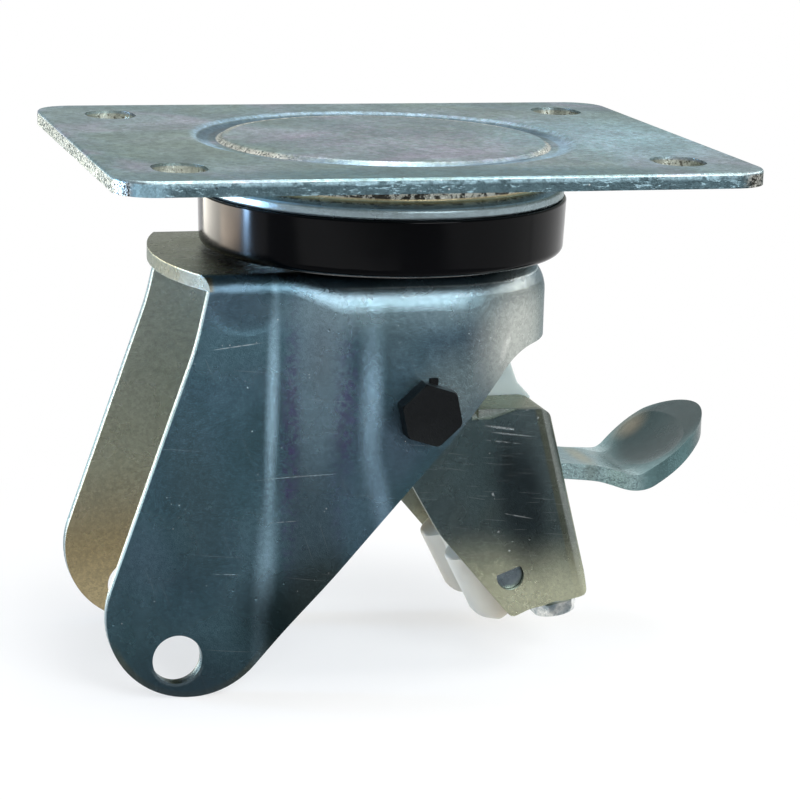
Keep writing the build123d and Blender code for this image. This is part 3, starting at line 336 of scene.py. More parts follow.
# rows of the lists below, with turns about Y:
# tints and painted light (centre, radii, colour, amount, turn, core, scale of its ragged edge or 0)
# pressed (centre, radii, height in mm, turn, core)
# marks (centre, radii, turn, amount)
# scratches (turn, length, gap, amount, seed)

plateZinc = dict(
    baseZinc, dark=(0.26, 0.365, 0.400), light=(0.43, 0.53, 0.56), sheenA=(0.60, 0.48, 0.64),
    sheenB=(0.31, 0.38, 0.30), sheenAmount=0.55, sheenScale=34.0, rough=(0.30, 0.44), grainDepth=0.16,
    edgeTint=(0.48, 0.53, 0.54), speckAmount=0.8, speckScale=520.0,
    edge=(0.085, 0.135, 0.155), edgeStreak=(0.34, 0.50, 0.57), corner=(0.36, 0.58, 0.70),
    sideEdge=(0.50, 0.50, 0.46), sideDark=(0.04, 0.04, 0.035), slotWall=(0.52, 0.55, 0.48),
    slotDark=(0.16, 0.16, 0.13), groove=(0.54, 0.78, 0.98), grooveFloor=(0.085, 0.125, 0.150),
    grooveFront=(0.14, 0.22, 0.29), grooveGlow=(0.50, 0.70, 0.84), grooveLine=(0.86, 0.86, 0.78),
    grooveDark=(0.10, 0.11, 0.11),
    # places of the zones: a pair goes from mask 0 to mask 1, a band has an inner and an outer pair
    belowFace=(-0.0004, -0.0008), insideRing=(0.0440, 0.0432), sideGrain=(1500.0, 0.50),
    slotEndX=(0.0650, 0.0640), slotEndY=(0.0505, 0.0495), slotGrain=(900.0, 0.58),
    streakStretch=(4, 1, 1), streakGrain=(1500.0, 0.60), lipHeight=(-0.0016, -0.0008), lipScale=420.0,
    lipBreaks=(0.36, 0.52), cornerX=(-0.056, -0.062), longEdgeY=(0.0525, 0.0535),
    longEdgeLeft=(-0.0674, -0.0668), longEdgeRight=(0.063, 0.060),
    ring=((0.0372, 0.0382), (0.0425, 0.0405)), ringAmount=0.7,
    floorBand=((0.0352, 0.0358), (0.0406, 0.0399)), floorAmount=0.75, behindY=(-0.006, 0.010),
    footBand=((0.0344, 0.0350), (0.0366, 0.0360)), footAmount=0.7,
    glowBand=((0.0354, 0.0362), (0.0390, 0.0382)), glowAmount=0.6, glowY=(-0.010, -0.022),
    endsX=(0.022, 0.031), lineOuter=(0.0363, 0.0358), lineGrain=(1700.0, 0.55),
    crestBand=((0.0330, 0.0336), (0.0352, 0.0348)), crestY=(0.004, 0.014),
    tintsAndPaintedLight=[
        # painted reflection: the plate's right side lighter and bluer, and a darker strip along its
        # front
        ((0.050, -0.005, 0.0), (0.036, 0.050, 0.0009), (0.46, 0.72, 0.80), 0.85, 0.0, 0.1, 0),
        ((-0.004, -0.051, 0.0), (0.075, 0.013, 0.0009), (0.17, 0.28, 0.32), 0.85, 0.0, 0.3, 0),
        # the plating's own olive and purple tints
        ((-0.048, -0.010, 0.0), (0.026, 0.044, 0.0009), (0.35, 0.42, 0.38), 0.6, 0.0, 0.1, 0),
        ((0.000, -0.006, 0.0), (0.034, 0.030, 0.0009), (0.60, 0.50, 0.66), 0.34, 0.0, 0.5, 420.0),
        ((0.020, 0.0, 0.0), (0.050, 0.055, 0.0009), (0.60, 0.50, 0.68), 0.25, 0.0, 0.6, 700.0),
        ((0.0, 0.0, 0.0), (0.100, 0.080, 0.0009), (0.27, 0.33, 0.25), 0.35, 0.0, 0.8, 900.0),
    ],
)


def plateZones(tree, place, colour):
    values = plateZinc
    x, y, z = partsOf(tree, place)
    acrossX, acrossY = absolute(tree, x), absolute(tree, y)
    radius = lengthOf(tree, x, y)
    # the cut edges: short ones and slots torn and pale, long ones in shade with pale streaks
    below = spread(tree, z, *values["belowFace"])
    outside = calc(tree, "SUBTRACT", 1.0, spread(tree, radius, *values["insideRing"]))
    torn = speckled(tree, place, values["sideEdge"], values["sideDark"], values["sideGrain"])
    slot = both(tree, spread(tree, acrossX, *values["slotEndX"]),
                spread(tree, acrossY, *values["slotEndY"]))
    slotWall = speckled(tree, place, values["slotWall"], values["slotDark"], values["slotGrain"])
    torn = mixed(tree, slot, torn, slotWall)
    colour = mixed(tree, both(tree, below, outside), colour, torn)
    streaks = localTo(tree, place, size=values["streakStretch"])
    shade = speckled(tree, streaks, values["edge"], values["edgeStreak"], values["streakGrain"])
    # painted highlight: a broken pale line along the top of the long edges, where they round over
    lipBreaks = spread(tree, noiseOf(tree, place, values["lipScale"]), *values["lipBreaks"])
    lip = both(tree, spread(tree, z, *values["lipHeight"]), lipBreaks)
    shade = mixed(tree, lip, shade, values["edgeStreak"])
    shade = mixed(tree, spread(tree, x, *values["cornerX"]), shade, values["corner"])
    longEdge = both(tree, below, spread(tree, acrossY, *values["longEdgeY"]),
                    between(tree, x, values["longEdgeLeft"], values["longEdgeRight"]))
    colour = mixed(tree, longEdge, colour, shade)
    # the pressed groove, in painted light: a painted bluish reflection on its flank, painted shade on
    # the floor behind and on the foot, and a painted highlight in front
    ring = between(tree, radius, *values["ring"])
    colour = laid(tree, ring, colour, values["groove"], values["ringAmount"])
    floorBand = both(tree, between(tree, radius, *values["floorBand"]),
                     spread(tree, y, *values["behindY"]))
    colour = laid(tree, floorBand, colour, values["grooveFloor"], values["floorAmount"])
    foot = between(tree, radius, *values["footBand"])
    colour = laid(tree, foot, colour, values["grooveFront"], values["footAmount"])
    glow = both(tree, between(tree, radius, *values["glowBand"]), spread(tree, y, *values["glowY"]))
    colour = laid(tree, glow, colour, values["grooveGlow"], values["glowAmount"])
    # painted highlight: a torn bright line at the foot's two ends, and at the disc's rim behind
    line = speckled(tree, place, values["grooveLine"], values["grooveDark"], values["lineGrain"])
    ends = both(tree, foot, spread(tree, acrossX, *values["endsX"]),
                spread(tree, radius, *values["lineOuter"]))
    colour = mixed(tree, ends, colour, line)
    crest = both(tree, between(tree, radius, *values["crestBand"]),
                 spread(tree, y, *values["crestY"]))
    return mixed(tree, crest, colour, line)


plateLook = zincLook("plateZinc", plateZinc, plateZones)

raceZinc = dict(
    baseZinc, dark=(0.26, 0.32, 0.32), light=(0.52, 0.58, 0.54), sheenA=(0.5, 0.42, 0.28),
    sheenB=(0.26, 0.40, 0.48), pitAmount=0.95, pitScale=420.0, cloudScale=60.0,
    edgeTint=(0.75, 0.78, 0.75), metallic=0.8, slope=(0.50, 0.52, 0.47), hole=(0.035, 0.035, 0.03),
    foot=(0.60, 0.66, 0.66), line=(0.62, 0.54, 0.34), lip=(0.30, 0.38, 0.41),
    holeGrain=(620.0, 0.50), wallZ=(-0.0050, -0.0056), footZ=(-0.0084, -0.0090),
    lineZ=((-0.0086, -0.0082), (-0.0074, -0.0078)), lipRadius=(0.0372, 0.0380),
)


def raceZones(tree, place, colour):
    # pitted wall, its pale tone set light as painted light in the shade under the plate, a tan line,
    # the pale foot under it and the edge of the lip
    values = raceZinc
    x, y, z = partsOf(tree, place)
    holes = speckled(tree, place, values["slope"], values["hole"], values["holeGrain"])
    colour = mixed(tree, spread(tree, z, *values["wallZ"]), colour, holes)
    colour = mixed(tree, spread(tree, z, *values["footZ"]), colour, values["foot"])
    line = between(tree, z, *values["lineZ"])
    colour = mixed(tree, line, colour, values["line"])
    lip = spread(tree, lengthOf(tree, x, y), *values["lipRadius"])
    return mixed(tree, lip, colour, values["lip"])


raceLook = zincLook("raceZinc", raceZinc, raceZones)

forkZinc = dict(
    baseZinc, dark=(0.048, 0.098, 0.122), light=(0.102, 0.182, 0.236), sheenA=(0.10, 0.10, 0.165),
    # the clouds, stretched upright, are partly the plating's own tone and partly painted reflection
    # streaks
    sheenB=(0.066, 0.135, 0.150), sheenAmount=0.45, stretch=(1, 1, 2.4), cloudScale=34.0,
    rough=(0.21, 0.31), edgeTint=(0.55, 0.60, 0.60), speckScale=640.0, speckAmount=0.5,
    grainDepth=0.09, grainScale=1500.0,
    innerTopReflection=(0.60, 0.64, 0.60), inner=(0.52, 0.56, 0.49), innerFootReflection=(0.38, 0.32, 0.19),
    innerFrom=-0.045, innerMid=-0.072, innerTo=-0.098,
    cut=(0.60, 0.70, 0.74), cutDark=(0.24, 0.27, 0.28), cutShade=(0.20, 0.28, 0.33),
    crown=(0.38, 0.365, 0.27), crownDark=(0.20, 0.18, 0.125), rim=(0.12, 0.12, 0.10),
    rimDark=(0.04, 0.04, 0.035), boreRim=(0.42, 0.54, 0.58), footEdge=(0.16, 0.16, 0.11),
    step=(-0.029, -0.015), stepHeight=0.0015, drumX=0.0065,
    bore=(-0.0496, -0.1055, 0.0053), boreRimReach=(0.0008, 0.0004), boreRimDepth=(-0.0010, -0.0035),
    boreRimAmount=0.8, lobe=(-0.04665, -0.0959, 0.018), footReach=(-0.0016, -0.0008),
    footDepth=(-0.004, -0.010), footAmount=0.6,
    underCrown=(-0.0270, -0.0274), shadeFrom=(0.0279, 0.0277), cutFrom=(0.0268, 0.0266),
    innerSide=(0.0257, 0.0254), cutGrain=(2400.0, 0.60),
    crownSide=(0.0262, 0.0240), crownTop=(-0.0246, -0.0243), crownGrain=(1100.0, 0.60),
    rimX=(-0.0425, -0.0435), rimZ=((-0.0275, -0.0270), (-0.0243, -0.0247)), rimGrain=(2600.0, 0.57),
    tintsAndPaintedLight=[
        # painted reflection: the leg's mid band, lighter in its upper part
        ((-0.0205, -0.028, -0.066), (0.0088, 0.01, 0.060), (0.074, 0.116, 0.146), 0.85, 0.0, 0.5, 0),
        ((-0.0205, -0.028, -0.044), (0.0085, 0.01, 0.030), (0.165, 0.255, 0.315), 0.8, 0.0, 0.4, 0),
        # the plating's own purple tints
        ((-0.0264, -0.028, -0.060), (0.003, 0.01, 0.042), (0.078, 0.068, 0.16), 0.8, 0.0, 0.1, 900),
        ((-0.0148, -0.028, -0.056), (0.0042, 0.01, 0.036), (0.078, 0.07, 0.165), 0.8, 0.03, 0.1, 900),
        # painted highlights along the two creases, wider at their feet
        ((-0.0303, -0.028, -0.052), (0.0020, 0.01, 0.034), (0.40, 0.62, 0.76), 0.85, 0.01, 0.0, 0),
        ((-0.0312, -0.028, -0.090), (0.0034, 0.01, 0.028), (0.34, 0.54, 0.67), 0.85, 0.05, 0.0, 0),
        ((-0.0094, -0.029, -0.050), (0.0036, 0.01, 0.030), (0.32, 0.50, 0.64), 0.85, 0.0, 0.0, 0),
        ((-0.0066, -0.029, -0.074), (0.0034, 0.01, 0.020), (0.28, 0.44, 0.58), 0.8, -0.18, 0.0, 0),
        # painted reflection and painted shade: lighter and darker patches on the drum, by the lobe,
        # on the coined facet and low on the leg
        ((0.010, -0.029, -0.049), (0.014, 0.01, 0.014), (0.24, 0.31, 0.32), 0.6, 0.4, 0.1, 0),
        ((-0.046, -0.029, -0.070), (0.010, 0.01, 0.030), (0.075, 0.125, 0.150), 0.7, -0.2, 0.1, 0),
        ((-0.036, -0.029, -0.031), (0.0075, 0.01, 0.0055), (0.055, 0.095, 0.125), 0.7, 0.1, 0.5, 0),
        ((-0.048, -0.029, -0.112), (0.024, 0.01, 0.014), (0.045, 0.075, 0.100), 0.75, 0.0, 0.1, 0),
        ((-0.026, -0.029, -0.100), (0.014, 0.01, 0.018), (0.014, 0.026, 0.028), 0.92, -0.6, 0.2, 0),
        # painted highlight along the shoulder under the seal
        ((-0.002, -0.029, -0.0315), (0.036, 0.02, 0.008), (0.31, 0.43, 0.47), 0.55, 0.0, 0.1, 0),
        # painted reflection: lighter patches on the upper leg, a white one at the drum's right edge,
        # a dark one low on the leg and a lighter one above it
        ((-0.0200, -0.029, -0.040), (0.0060, 0.01, 0.014), (0.16, 0.21, 0.25), 0.5, 0.0, 0.1, 0),
        ((-0.0050, -0.030, -0.038), (0.0120, 0.01, 0.012), (0.11, 0.165, 0.195), 0.6, 0.0, 0.1, 0),
        ((0.0250, -0.022, -0.040), (0.0170, 0.02, 0.020), (0.70, 0.73, 0.68), 0.88, 0.0, 0.15, 0),
        ((-0.0180, -0.029, -0.092), (0.0130, 0.01, 0.013), (0.042, 0.060, 0.060), 0.85, -0.6, 0.2, 0),
        ((-0.0125, -0.029, -0.075), (0.0075, 0.01, 0.02), (0.088, 0.155, 0.21), 0.65, -0.35, 0.1, 0),
        # painted highlight along the rolled rim of the right shoulder
        ((0.0208, -0.026, -0.0410), (0.0011, 0.012, 0.0050), (0.85, 0.88, 0.84), 0.6, 0.35, 0.1, 0),
    ],
    pressed=[
        ((-0.0296, -0.028, -0.070), (0.0028, 0.02, 0.052), 0.22, 0.02, 0.0),
        ((-0.0080, -0.029, -0.058), (0.0042, 0.02, 0.040), 0.40, -0.05, 0.0),
        ((-0.0365, -0.029, -0.0310), (0.0080, 0.02, 0.0058), -0.07, 0.1, 0.75),
        ((-0.0015, -0.030, -0.0690), (0.0024, 0.02, 0.011), 0.08, 0.30, 0.0),
        ((-0.0220, -0.029, -0.0490), (0.0030, 0.02, 0.0055), -0.07, 0.3, 0.1),
        ((-0.0180, -0.029, -0.0895), (0.0022, 0.02, 0.0022), -0.06, 0.0, 0.1),
    ],
    marks=[
        ((-0.0200, -0.0285, -0.0665), (0.0180, 0.002, 0.00013), -0.065, 0.32),
        ((-0.0380, -0.0285, -0.0387), (0.0066, 0.002, 0.00013), -0.115, 0.38),
        ((-0.0276, -0.0285, -0.0766), (0.0042, 0.002, 0.00012), -0.05, 0.32),
        ((-0.0394, -0.0285, -0.0874), (0.0038, 0.002, 0.00012), 0.08, 0.32),
    ],
    scratches=[
        (0.10, 0.016, 0.0085, 0.12, 0.31),
        (1.20, 0.010, 0.0090, 0.08, 0.77),
    ],
)


def ringMask(tree, x, z, circle, reach, depth):
    # a band along a circle in the XZ plane, kept below its middle
    middleX, middleZ, radius = circle
    fromX, fromZ = calc(tree, "SUBTRACT", x, middleX), calc(tree, "SUBTRACT", z, middleZ)
    band = spread(tree, lengthOf(tree, fromX, fromZ), radius + reach[0], radius + reach[1])
    return both(tree, band, spread(tree, fromZ, *depth))


def forkZones(tree, place, colour):
    # cut edges and the crown's top each have their own tone, the cut edges with a strip of painted
    # shade on their outer side; the inner faces carry a painted reflection
    values = forkZinc
    x, y, z = partsOf(tree, place)
    # across is the distance from the middle, measured round the drum behind its centre
    step = spread(tree, x, *values["step"], 0.0, values["stepHeight"])
    behind = calc(tree, "MAXIMUM", calc(tree, "SUBTRACT", x, values["drumX"]), 0.0)
    across = calc(tree, "SUBTRACT", lengthOf(tree, behind, y), step)
    # a pale band round the lower half of the axle bore, and a dark one along the foot of the lobe
    boreRim = ringMask(tree, x, z, values["bore"], values["boreRimReach"], values["boreRimDepth"])
    colour = laid(tree, boreRim, colour, values["boreRim"], values["boreRimAmount"])
    foot = ringMask(tree, x, z, values["lobe"], values["footReach"], values["footDepth"])
    colour = laid(tree, foot, colour, values["footEdge"], values["footAmount"])
    # painted reflection: the inner faces are paler at the top and yellowish at the foot, as they
    # mirror the surroundings
    toMiddle = spread(tree, z, values["innerFrom"], values["innerMid"])
    toFoot = spread(tree, z, values["innerMid"], values["innerTo"])
    inner = mixed(tree, toMiddle, values["innerTopReflection"], values["inner"])
    inner = mixed(tree, toFoot, inner, values["innerFootReflection"])
    under = spread(tree, z, *values["underCrown"])
    bright = speckled(tree, place, values["cut"], values["cutDark"], values["cutGrain"])
    tones = {"shadeFrom": values["cutShade"], "cutFrom": bright, "innerSide": inner}
    for limits, tone in tones.items():
        mask = both(tree, spread(tree, across, *values[limits]), under)
        colour = mixed(tree, mask, colour, tone)
    # the crown's speckled olive top and its torn front rim
    speckledTop = speckled(tree, place, values["crown"], values["crownDark"], values["crownGrain"])
    top = both(tree, spread(tree, across, *values["crownSide"]), spread(tree, z, *values["crownTop"]))
    colour = mixed(tree, top, colour, speckledTop)
    rim = both(tree, spread(tree, x, *values["rimX"]), between(tree, z, *values["rimZ"]))
    torn = speckled(tree, place, values["rim"], values["rimDark"], values["rimGrain"])
    return mixed(tree, rim, colour, torn)


forkLook = zincLook("forkZinc", forkZinc, forkZones)

housingZinc = dict(
    baseZinc, dark=(0.062, 0.092, 0.098), light=(0.100, 0.140, 0.148), sheenA=(0.12, 0.12, 0.085),
    sheenB=(0.06, 0.10, 0.110), cloudScale=60.0, stretch=(1, 1, 2.0), grainDepth=0.07,
    grainScale=1600.0, speckAmount=0.6, edgeTint=(0.5, 0.52, 0.48),
    inner=(0.42, 0.45, 0.38), cut=(0.25, 0.28, 0.265), bend=(0.095, 0.110, 0.088),
    wallTop=(0.0335, -0.056),
    wallNormal=(0.967, 0.255), bendAhead=(-0.0042, -0.0038), bendAcross=(0.0150, 0.0160),
    cutAcross=(0.0218, 0.0216), innerAcross=(0.0204, 0.0201),
    tintsAndPaintedLight=[
        # painted reflection: a pale yellowish field low on the housing, and a dark one above it
        ((0.030, -0.022, -0.108), (0.050, 0.02, 0.026), (0.80, 0.82, 0.59), 0.90, 0.18, 0.36, 0),
        ((0.027, -0.022, -0.076), (0.0092, 0.01, 0.024), (0.016, 0.023, 0.027), 0.82, -0.26, 0.25, 0),
        ((0.0245, -0.022, -0.070), (0.0022, 0.01, 0.012), (0.028, 0.038, 0.04), 0.7, -0.2, 0.2, 260),
    ],
    marks=[
        ((0.0230, -0.022, -0.0600), (0.0075, 0.002, 0.00030), 0.16, 0.40),
        ((0.0245, -0.022, -0.0614), (0.0062, 0.002, 0.00022), 0.14, 0.36),
        ((0.0225, -0.022, -0.0630), (0.0050, 0.002, 0.00020), 0.14, 0.32),
        ((0.0262, -0.022, -0.0797), (0.0045, 0.002, 0.00018), 0.22, 0.32),
        ((0.0205, -0.022, -0.0745), (0.0016, 0.002, 0.00030), 1.2, 0.6),
    ],
    scratches=[(0.14, 0.008, 0.0020, 0.11, 1.3), (0.05, 0.005, 0.0016, 0.08, 0.4)],
)


def housingZones(tree, place, colour):
    values = housingZinc
    x, y, z = partsOf(tree, place)
    across = absolute(tree, y)
    # distance in front of the back wall, whose upper corner is at wallTop
    parts = []
    for side, corner, normal in zip((x, z), values["wallTop"], values["wallNormal"]):
        parts.append(calc(tree, "MULTIPLY", calc(tree, "SUBTRACT", side, corner), normal))
    ahead = calc(tree, "ADD", *parts)
    # painted highlight: the strip round the bend takes a paler tone where its rounding catches light
    bend = both(tree, spread(tree, ahead, *values["bendAhead"]),
                spread(tree, across, *values["bendAcross"]))
    colour = mixed(tree, bend, colour, values["bend"])
    colour = mixed(tree, spread(tree, across, *values["cutAcross"]), colour, values["cut"])
    return mixed(tree, spread(tree, across, *values["innerAcross"]), colour, values["inner"])


housingLook = zincLook("housingZinc", housingZinc, housingZones)

pedalZinc = dict(
    baseZinc, dark=(0.19, 0.33, 0.34), light=(0.30, 0.48, 0.50), sheenA=(0.32, 0.36, 0.26),
    sheenB=(0.16, 0.34, 0.37), shear=(0.50, 0.70, 0.72), shearDark=(0.26, 0.40, 0.42),
    shearGrain=(1500.0, 0.56), neckSide=(0.0078, 0.0080), neckEnd=(0.0600, 0.0560),
    tintsAndPaintedLight=[
        # painted shade in the pad's dish, and a painted highlight at its upper edge
        ((0.068, 0.0, -0.068), (0.0170, 0.0195, 0.02), (0.032, 0.064, 0.067), 0.94, 0.0, 0.52, 0),
        ((0.0640, 0.0120, -0.068), (0.0060, 0.0060, 0.01), (0.40, 0.34, 0.24), 0.55, 0.0, 0.1, 0),
        ((0.0430, 0.0, -0.072), (0.0120, 0.0078, 0.01), (0.15, 0.30, 0.33), 0.8, 0.0, 0.6, 0),
        ((0.0480, 0.0, -0.073), (0.0034, 0.012, 0.01), (0.34, 0.34, 0.20), 0.65, 0.0, 0.1, 0),
    ],
)


def pedalZones(tree, place, colour):
    # the neck's sheared side faces
    values = pedalZinc
    x, y, _ = partsOf(tree, place)
    sheared = speckled(tree, place, values["shear"], values["shearDark"], values["shearGrain"])
    side = both(tree, spread(tree, absolute(tree, y), *values["neckSide"]),
                spread(tree, x, *values["neckEnd"]))
    return mixed(tree, side, colour, sheared)


pedalLook = zincLook("pedalZinc", pedalZinc, pedalZones)

screwZinc = dict(
    baseZinc, dark=(0.42, 0.52, 0.54), light=(0.96, 1.0, 0.97), sheenA=(0.80, 0.78, 0.62),
    sheenB=(0.36, 0.50, 0.58), cloudScale=220.0, sheenScale=140.0,
)
headZinc = dict(
    screwZinc, dark=(0.24, 0.32, 0.36), light=(0.98, 1.0, 0.97), cloudScale=380.0, sheenAmount=0.1,
)
bareSteel = dict(
    baseZinc, dark=(0.09, 0.09, 0.09), light=(0.20, 0.20, 0.20), sheenA=(0.18, 0.14, 0.09),
    sheenB=(0.12, 0.14, 0.16), cloudScale=80.0,
)
pinSteel = dict(
    baseZinc, dark=(0.16, 0.21, 0.24), light=(0.30, 0.36, 0.40), sheenA=(0.3, 0.28, 0.24),
    sheenB=(0.16, 0.24, 0.30), cloudScale=200.0, rough=(0.24, 0.36),
)
ballSteel = dict(
    baseZinc, dark=(0.40, 0.40, 0.42), light=(0.55, 0.55, 0.57), sheenA=(0.5, 0.48, 0.44),
    sheenB=(0.44, 0.48, 0.52), grainDepth=0.02, rough=(0.08, 0.16), pitAmount=0.0,
)
springSteel = dict(
    baseZinc, dark=(0.12, 0.13, 0.14), light=(0.24, 0.25, 0.26), sheenA=(0.2, 0.18, 0.14),
    sheenB=(0.14, 0.18, 0.22), cloudScale=200.0, rough=(0.24, 0.36),
)
blackSteel = dict(
    baseZinc, dark=(0.004, 0.005, 0.006), light=(0.010, 0.012, 0.013), sheenA=(0.012, 0.011, 0.010),
    sheenB=(0.006, 0.009, 0.011), metallic=0.35, specular=0.14, rough=(0.34, 0.50),
    scratchColour=(0.06, 0.06, 0.06), pitAmount=0.3,
)
screwLook = zincLook("screwZinc", screwZinc)
headLook = zincLook("headZinc", headZinc)
bareLook = zincLook("bareSteel", bareSteel)
pinLook = zincLook("pinSteel", pinSteel)
ballLook = zincLook("ballSteel", ballSteel)
springLook = zincLook("springSteel", springSteel)
blackLook = zincLook("blackSteel", blackSteel)

basePlastic = {
    "cloudNoise": (3.0, 0.55, 0.3), "cloudSteps": (0.3, 0.7), "fineNoise": (3.0, 0.6),
    "roughSteps": (0.3, 0.7), "glowReach": (0.9, 0.8, 0.7),
}
sealPlastic = dict(
    basePlastic, dark=(0.0004, 0.0006, 0.0010), light=(0.0009, 0.0011, 0.0017), cloudScale=40.0,
    roughScale=50.0, rough=(0.11, 0.19), bumpScale=60.0, bump=(0.04, 0.0002), specular=0.10,
)
nylonWhite = dict(
    basePlastic, dark=(0.45, 0.41, 0.34), light=(0.58, 0.53, 0.44), cloudScale=50.0, roughScale=90.0,
    rough=(0.34, 0.46), bumpScale=300.0, bump=(0.2, 0.0002), glow=0.35, glowScale=0.003,
)
nylonClear = dict(
    basePlastic, dark=(0.35, 0.42, 0.42), light=(0.49, 0.56, 0.56), cloudScale=50.0, roughScale=90.0,
    rough=(0.28, 0.38), bumpScale=300.0, bump=(0.2, 0.0002), glow=0.5, glowScale=0.004,
)
sealLook = plasticLook("sealPlastic", sealPlastic)
shoeLook = plasticLook("nylonWhite", nylonWhite)
lockLook = plasticLook("nylonClear", nylonClear)

wear = {
    "top_plate": plateLook, "upper_race": raceLook, "king_bolt": bareLook, "king_washer": bareLook,
    "king_nut": screwLook, "upper_balls": ballLook, "lower_balls": ballLook, "crown_race": bareLook,
    "seal_ring": sealLook, "bottom_cup": bareLook, "lock_ring": screwLook, "fork": forkLook,
    "pivot_bolt": blackLook, "pivot_sleeve": screwLook, "near_spacer": screwLook,
    "pivot_washer": screwLook, "pivot_nut": blackLook, "return_spring": springLook,
    "brake_housing": housingLook, "shoe_pin": pinLook, "press_nut": headLook,
    "adjusting_screw": headLook, "brake_shoe": shoeLook, "swivel_lock": lockLook, "pedal": pedalLook,
}
for nodeName, look in wear.items():
    dress(nodeName, look)
print("materials given:", len(wear))


# floor, world and lamps


def glowing(tree, kind, strength, colour=(1, 1, 1)):
    node = addNode(tree, "ShaderNode" + kind, {"Color": (*colour, 1), "Strength": strength})
    return node.outputs[0]


def blended(tree, amount, first, second):
    return addNode(tree, "ShaderNodeMixShader", {0: amount, 1: first, 2: second}).outputs[0]


floorValues = {
    "radius": 0.9, "sides": 96, "colour": (0.90, 0.90, 0.90), "whiteRadii": (0.02, 0.16),
    "whiteLeast": 0.55,
    # what the metal mirrors of it: dark in front, with a bright field on either side
    "darkTone": 0.36, "darkY": (-0.002, -0.036), "leftTone": 1.3, "leftX": (-0.022, -0.030),
    "leftY": ((-0.42, -0.36), (-0.14, -0.20)), "rightTone": 1.0, "rightX": (0.10, 0.22),
}


def buildFloor():
    values = floorValues
    mesh = bpy.data.meshes.new("floor")
    shape = bmesh.new()
    bmesh.ops.create_circle(shape, cap_ends=True, segments=values["sides"], radius=values["radius"],
                            matrix=Matrix.Translation((0, 0, cadBox[0][2])))
    shape.to_mesh(mesh)
    shape.free()
    floor = bpy.data.objects.new("floor", mesh)
    bpy.context.scene.collection.objects.link(floor)
    look = bpy.data.materials.new("floor")
    look.use_nodes = True
    tree = look.node_tree
    tree.nodes.clear()
    place = placeOf(tree)
    rays = addNode(tree, "ShaderNodeLightPath")
    # pale matte that fades to white away from the shadow
    x, y, _ = partsOf(tree, place)
    fade = spread(tree, lengthOf(tree, x, y), *values["whiteRadii"], values["whiteLeast"], 1.0)
    fade = calc(tree, "MULTIPLY", fade, rays.outputs["Is Camera Ray"])
    matte = addNode(tree, "ShaderNodeBsdfDiffuse", {"Color": (*values["colour"], 1)}).outputs[0]
    # what the metal sees of it
    front = spread(tree, y, *values["darkY"])
    tone = calc(tree, "SUBTRACT", 1.0, calc(tree, "MULTIPLY", front, 1.0 - values["darkTone"]))
    left = both(tree, between(tree, y, *values["leftY"]), spread(tree, x, *values["leftX"]))
    right = both(tree, front, spread(tree, x, *values["rightX"]))
    for field, strength in ((left, values["leftTone"]), (right, values["rightTone"])):
        tone = calc(tree, "MAXIMUM", tone, calc(tree, "MULTIPLY", field, strength))
    mirrored = glowing(tree, "Emission", tone)
    matte = blended(tree, rays.outputs["Is Glossy Ray"], matte, mirrored)
    surface = blended(tree, fade, matte, glowing(tree, "Emission", 1.0))
    addNode(tree, "ShaderNodeOutputMaterial", {"Surface": surface})
    mesh.materials.append(look)


worldValues = {
    "colour": (0.95, 0.98, 1.0), "strength": 0.55,
    # what the metal mirrors of it: tones, and where each is, along Y or upwards
    "frontTone": 0.20, "frontAlong": (-0.95, -0.2), "sideTone": 0.60, "backTone": 0.80,
    "backAlong": (-0.2, 0.7), "topTone": 1.3, "topUp": (0.55, 0.95),
}


def buildWorld():
    values = worldValues
    world = bpy.data.worlds.new("studio")
    bpy.context.scene.world = world
    world.use_nodes = True
    tree = world.node_tree
    tree.nodes.clear()
    rays = addNode(tree, "ShaderNodeLightPath")
    direction = addNode(tree, "ShaderNodeTexCoord").outputs["Generated"]
    _, along, up = partsOf(tree, direction)
    tone = spread(tree, along, *values["frontAlong"], values["frontTone"], values["sideTone"])
    for value, limits, strength in ((along, "backAlong", "backTone"), (up, "topUp", "topTone")):
        field = spread(tree, value, *values[limits], 0.0, values[strength])
        tone = calc(tree, "MAXIMUM", tone, field)
    plain = glowing(tree, "Background", values["strength"], values["colour"])
    shiny = calc(tree, "MAXIMUM", rays.outputs["Is Glossy Ray"], rays.outputs["Is Transmission Ray"])
    lit = blended(tree, shiny, plain, glowing(tree, "Background", tone))
    final = blended(tree, rays.outputs["Is Camera Ray"], lit, glowing(tree, "Background", 1.0))
    addNode(tree, "ShaderNodeOutputWorld", {"Surface": final})


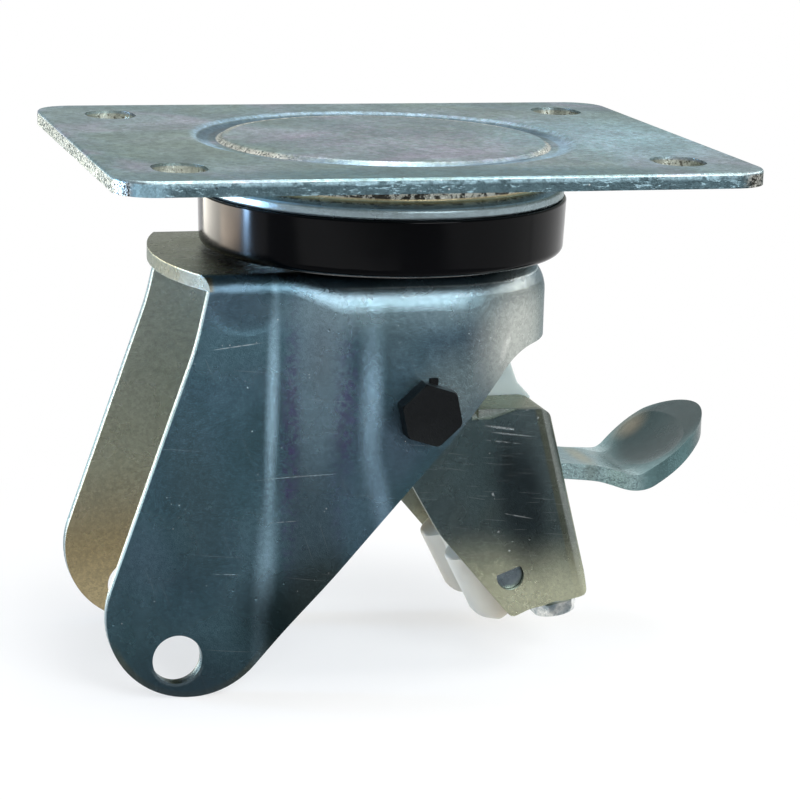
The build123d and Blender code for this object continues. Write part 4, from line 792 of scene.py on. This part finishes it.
lamps = [
    # name, place, size x and y, watts, colour
    ("topLamp", (0.05, -0.05, 0.95), (0.5, 0.30), 4.5, (1.0, 0.99, 0.97)),
    ("browLamp", (0.34, -1.00, 0.66), (0.60, 0.80), 9.0, (0.96, 0.98, 1.0)),
    ("leftLamp", (-0.42, 0.105, -0.04), (0.032, 0.13), 1.45, (0.38, 0.64, 1.0)),
    ("peachLamp", (-0.375, 0.215, -0.103), (0.16, 0.014), 0.07, (1.0, 0.72, 0.50)),
    ("sideLamp", (-0.33, 0.30, -0.085), (0.46, 0.07), 0.75, (1.0, 0.95, 0.84)),
    ("lowBrowLamp", (0.33, -1.05, 0.26), (0.60, 0.30), 3.2, (0.94, 0.98, 1.0)),
    ("rightLamp", (0.85, 0.05, 0.50), (0.4, 0.4), 4.0, (1.0, 0.97, 0.93)),
]
lampAim = (0, 0, -0.05)


def buildLamps():
    for name, place, size, watts, colour in lamps:
        data = bpy.data.lights.new(name, "AREA")
        data.shape = "RECTANGLE"
        data.size, data.size_y = size
        data.energy = watts
        data.color = colour
        lamp = bpy.data.objects.new(name, data)
        lamp.location = place
        aim = Vector(lampAim) - Vector(place)
        lamp.rotation_euler = aim.to_track_quat("-Z", "Y").to_euler()
        lamp.visible_camera = False
        bpy.context.scene.collection.objects.link(lamp)


buildFloor()
buildWorld()
buildLamps()
print("studio built")


# camera

view = {
    "place": (-0.15905, -0.56192, 0.08226), "yaw": 0.284791, "pitch": 0.235691, "roll": 0.030508,
    "lens": 122.9, "sensor": 36.0,
}


def buildCamera():
    yaw, pitch, roll = view["yaw"], view["pitch"], view["roll"]
    level = math.cos(pitch)
    ahead = Vector((math.sin(yaw) * level, math.cos(yaw) * level, -math.sin(pitch)))
    right = Vector((math.cos(yaw), -math.sin(yaw), 0))
    up = right.cross(ahead)
    turnedRight = right * math.cos(roll) + up * math.sin(roll)
    turnedUp = up * math.cos(roll) - right * math.sin(roll)
    data = bpy.data.cameras.new("camera")
    data.sensor_width = view["sensor"]
    data.lens = view["lens"]
    camera = bpy.data.objects.new("camera", data)
    matrix = Matrix((turnedRight, turnedUp, -ahead)).transposed().to_4x4()
    matrix.translation = Vector(view["place"])
    camera.matrix_world = matrix
    bpy.context.scene.collection.objects.link(camera)
    bpy.context.scene.camera = camera


buildCamera()
bpy.context.scene.view_settings.view_transform = "Standard"
print("camera set")
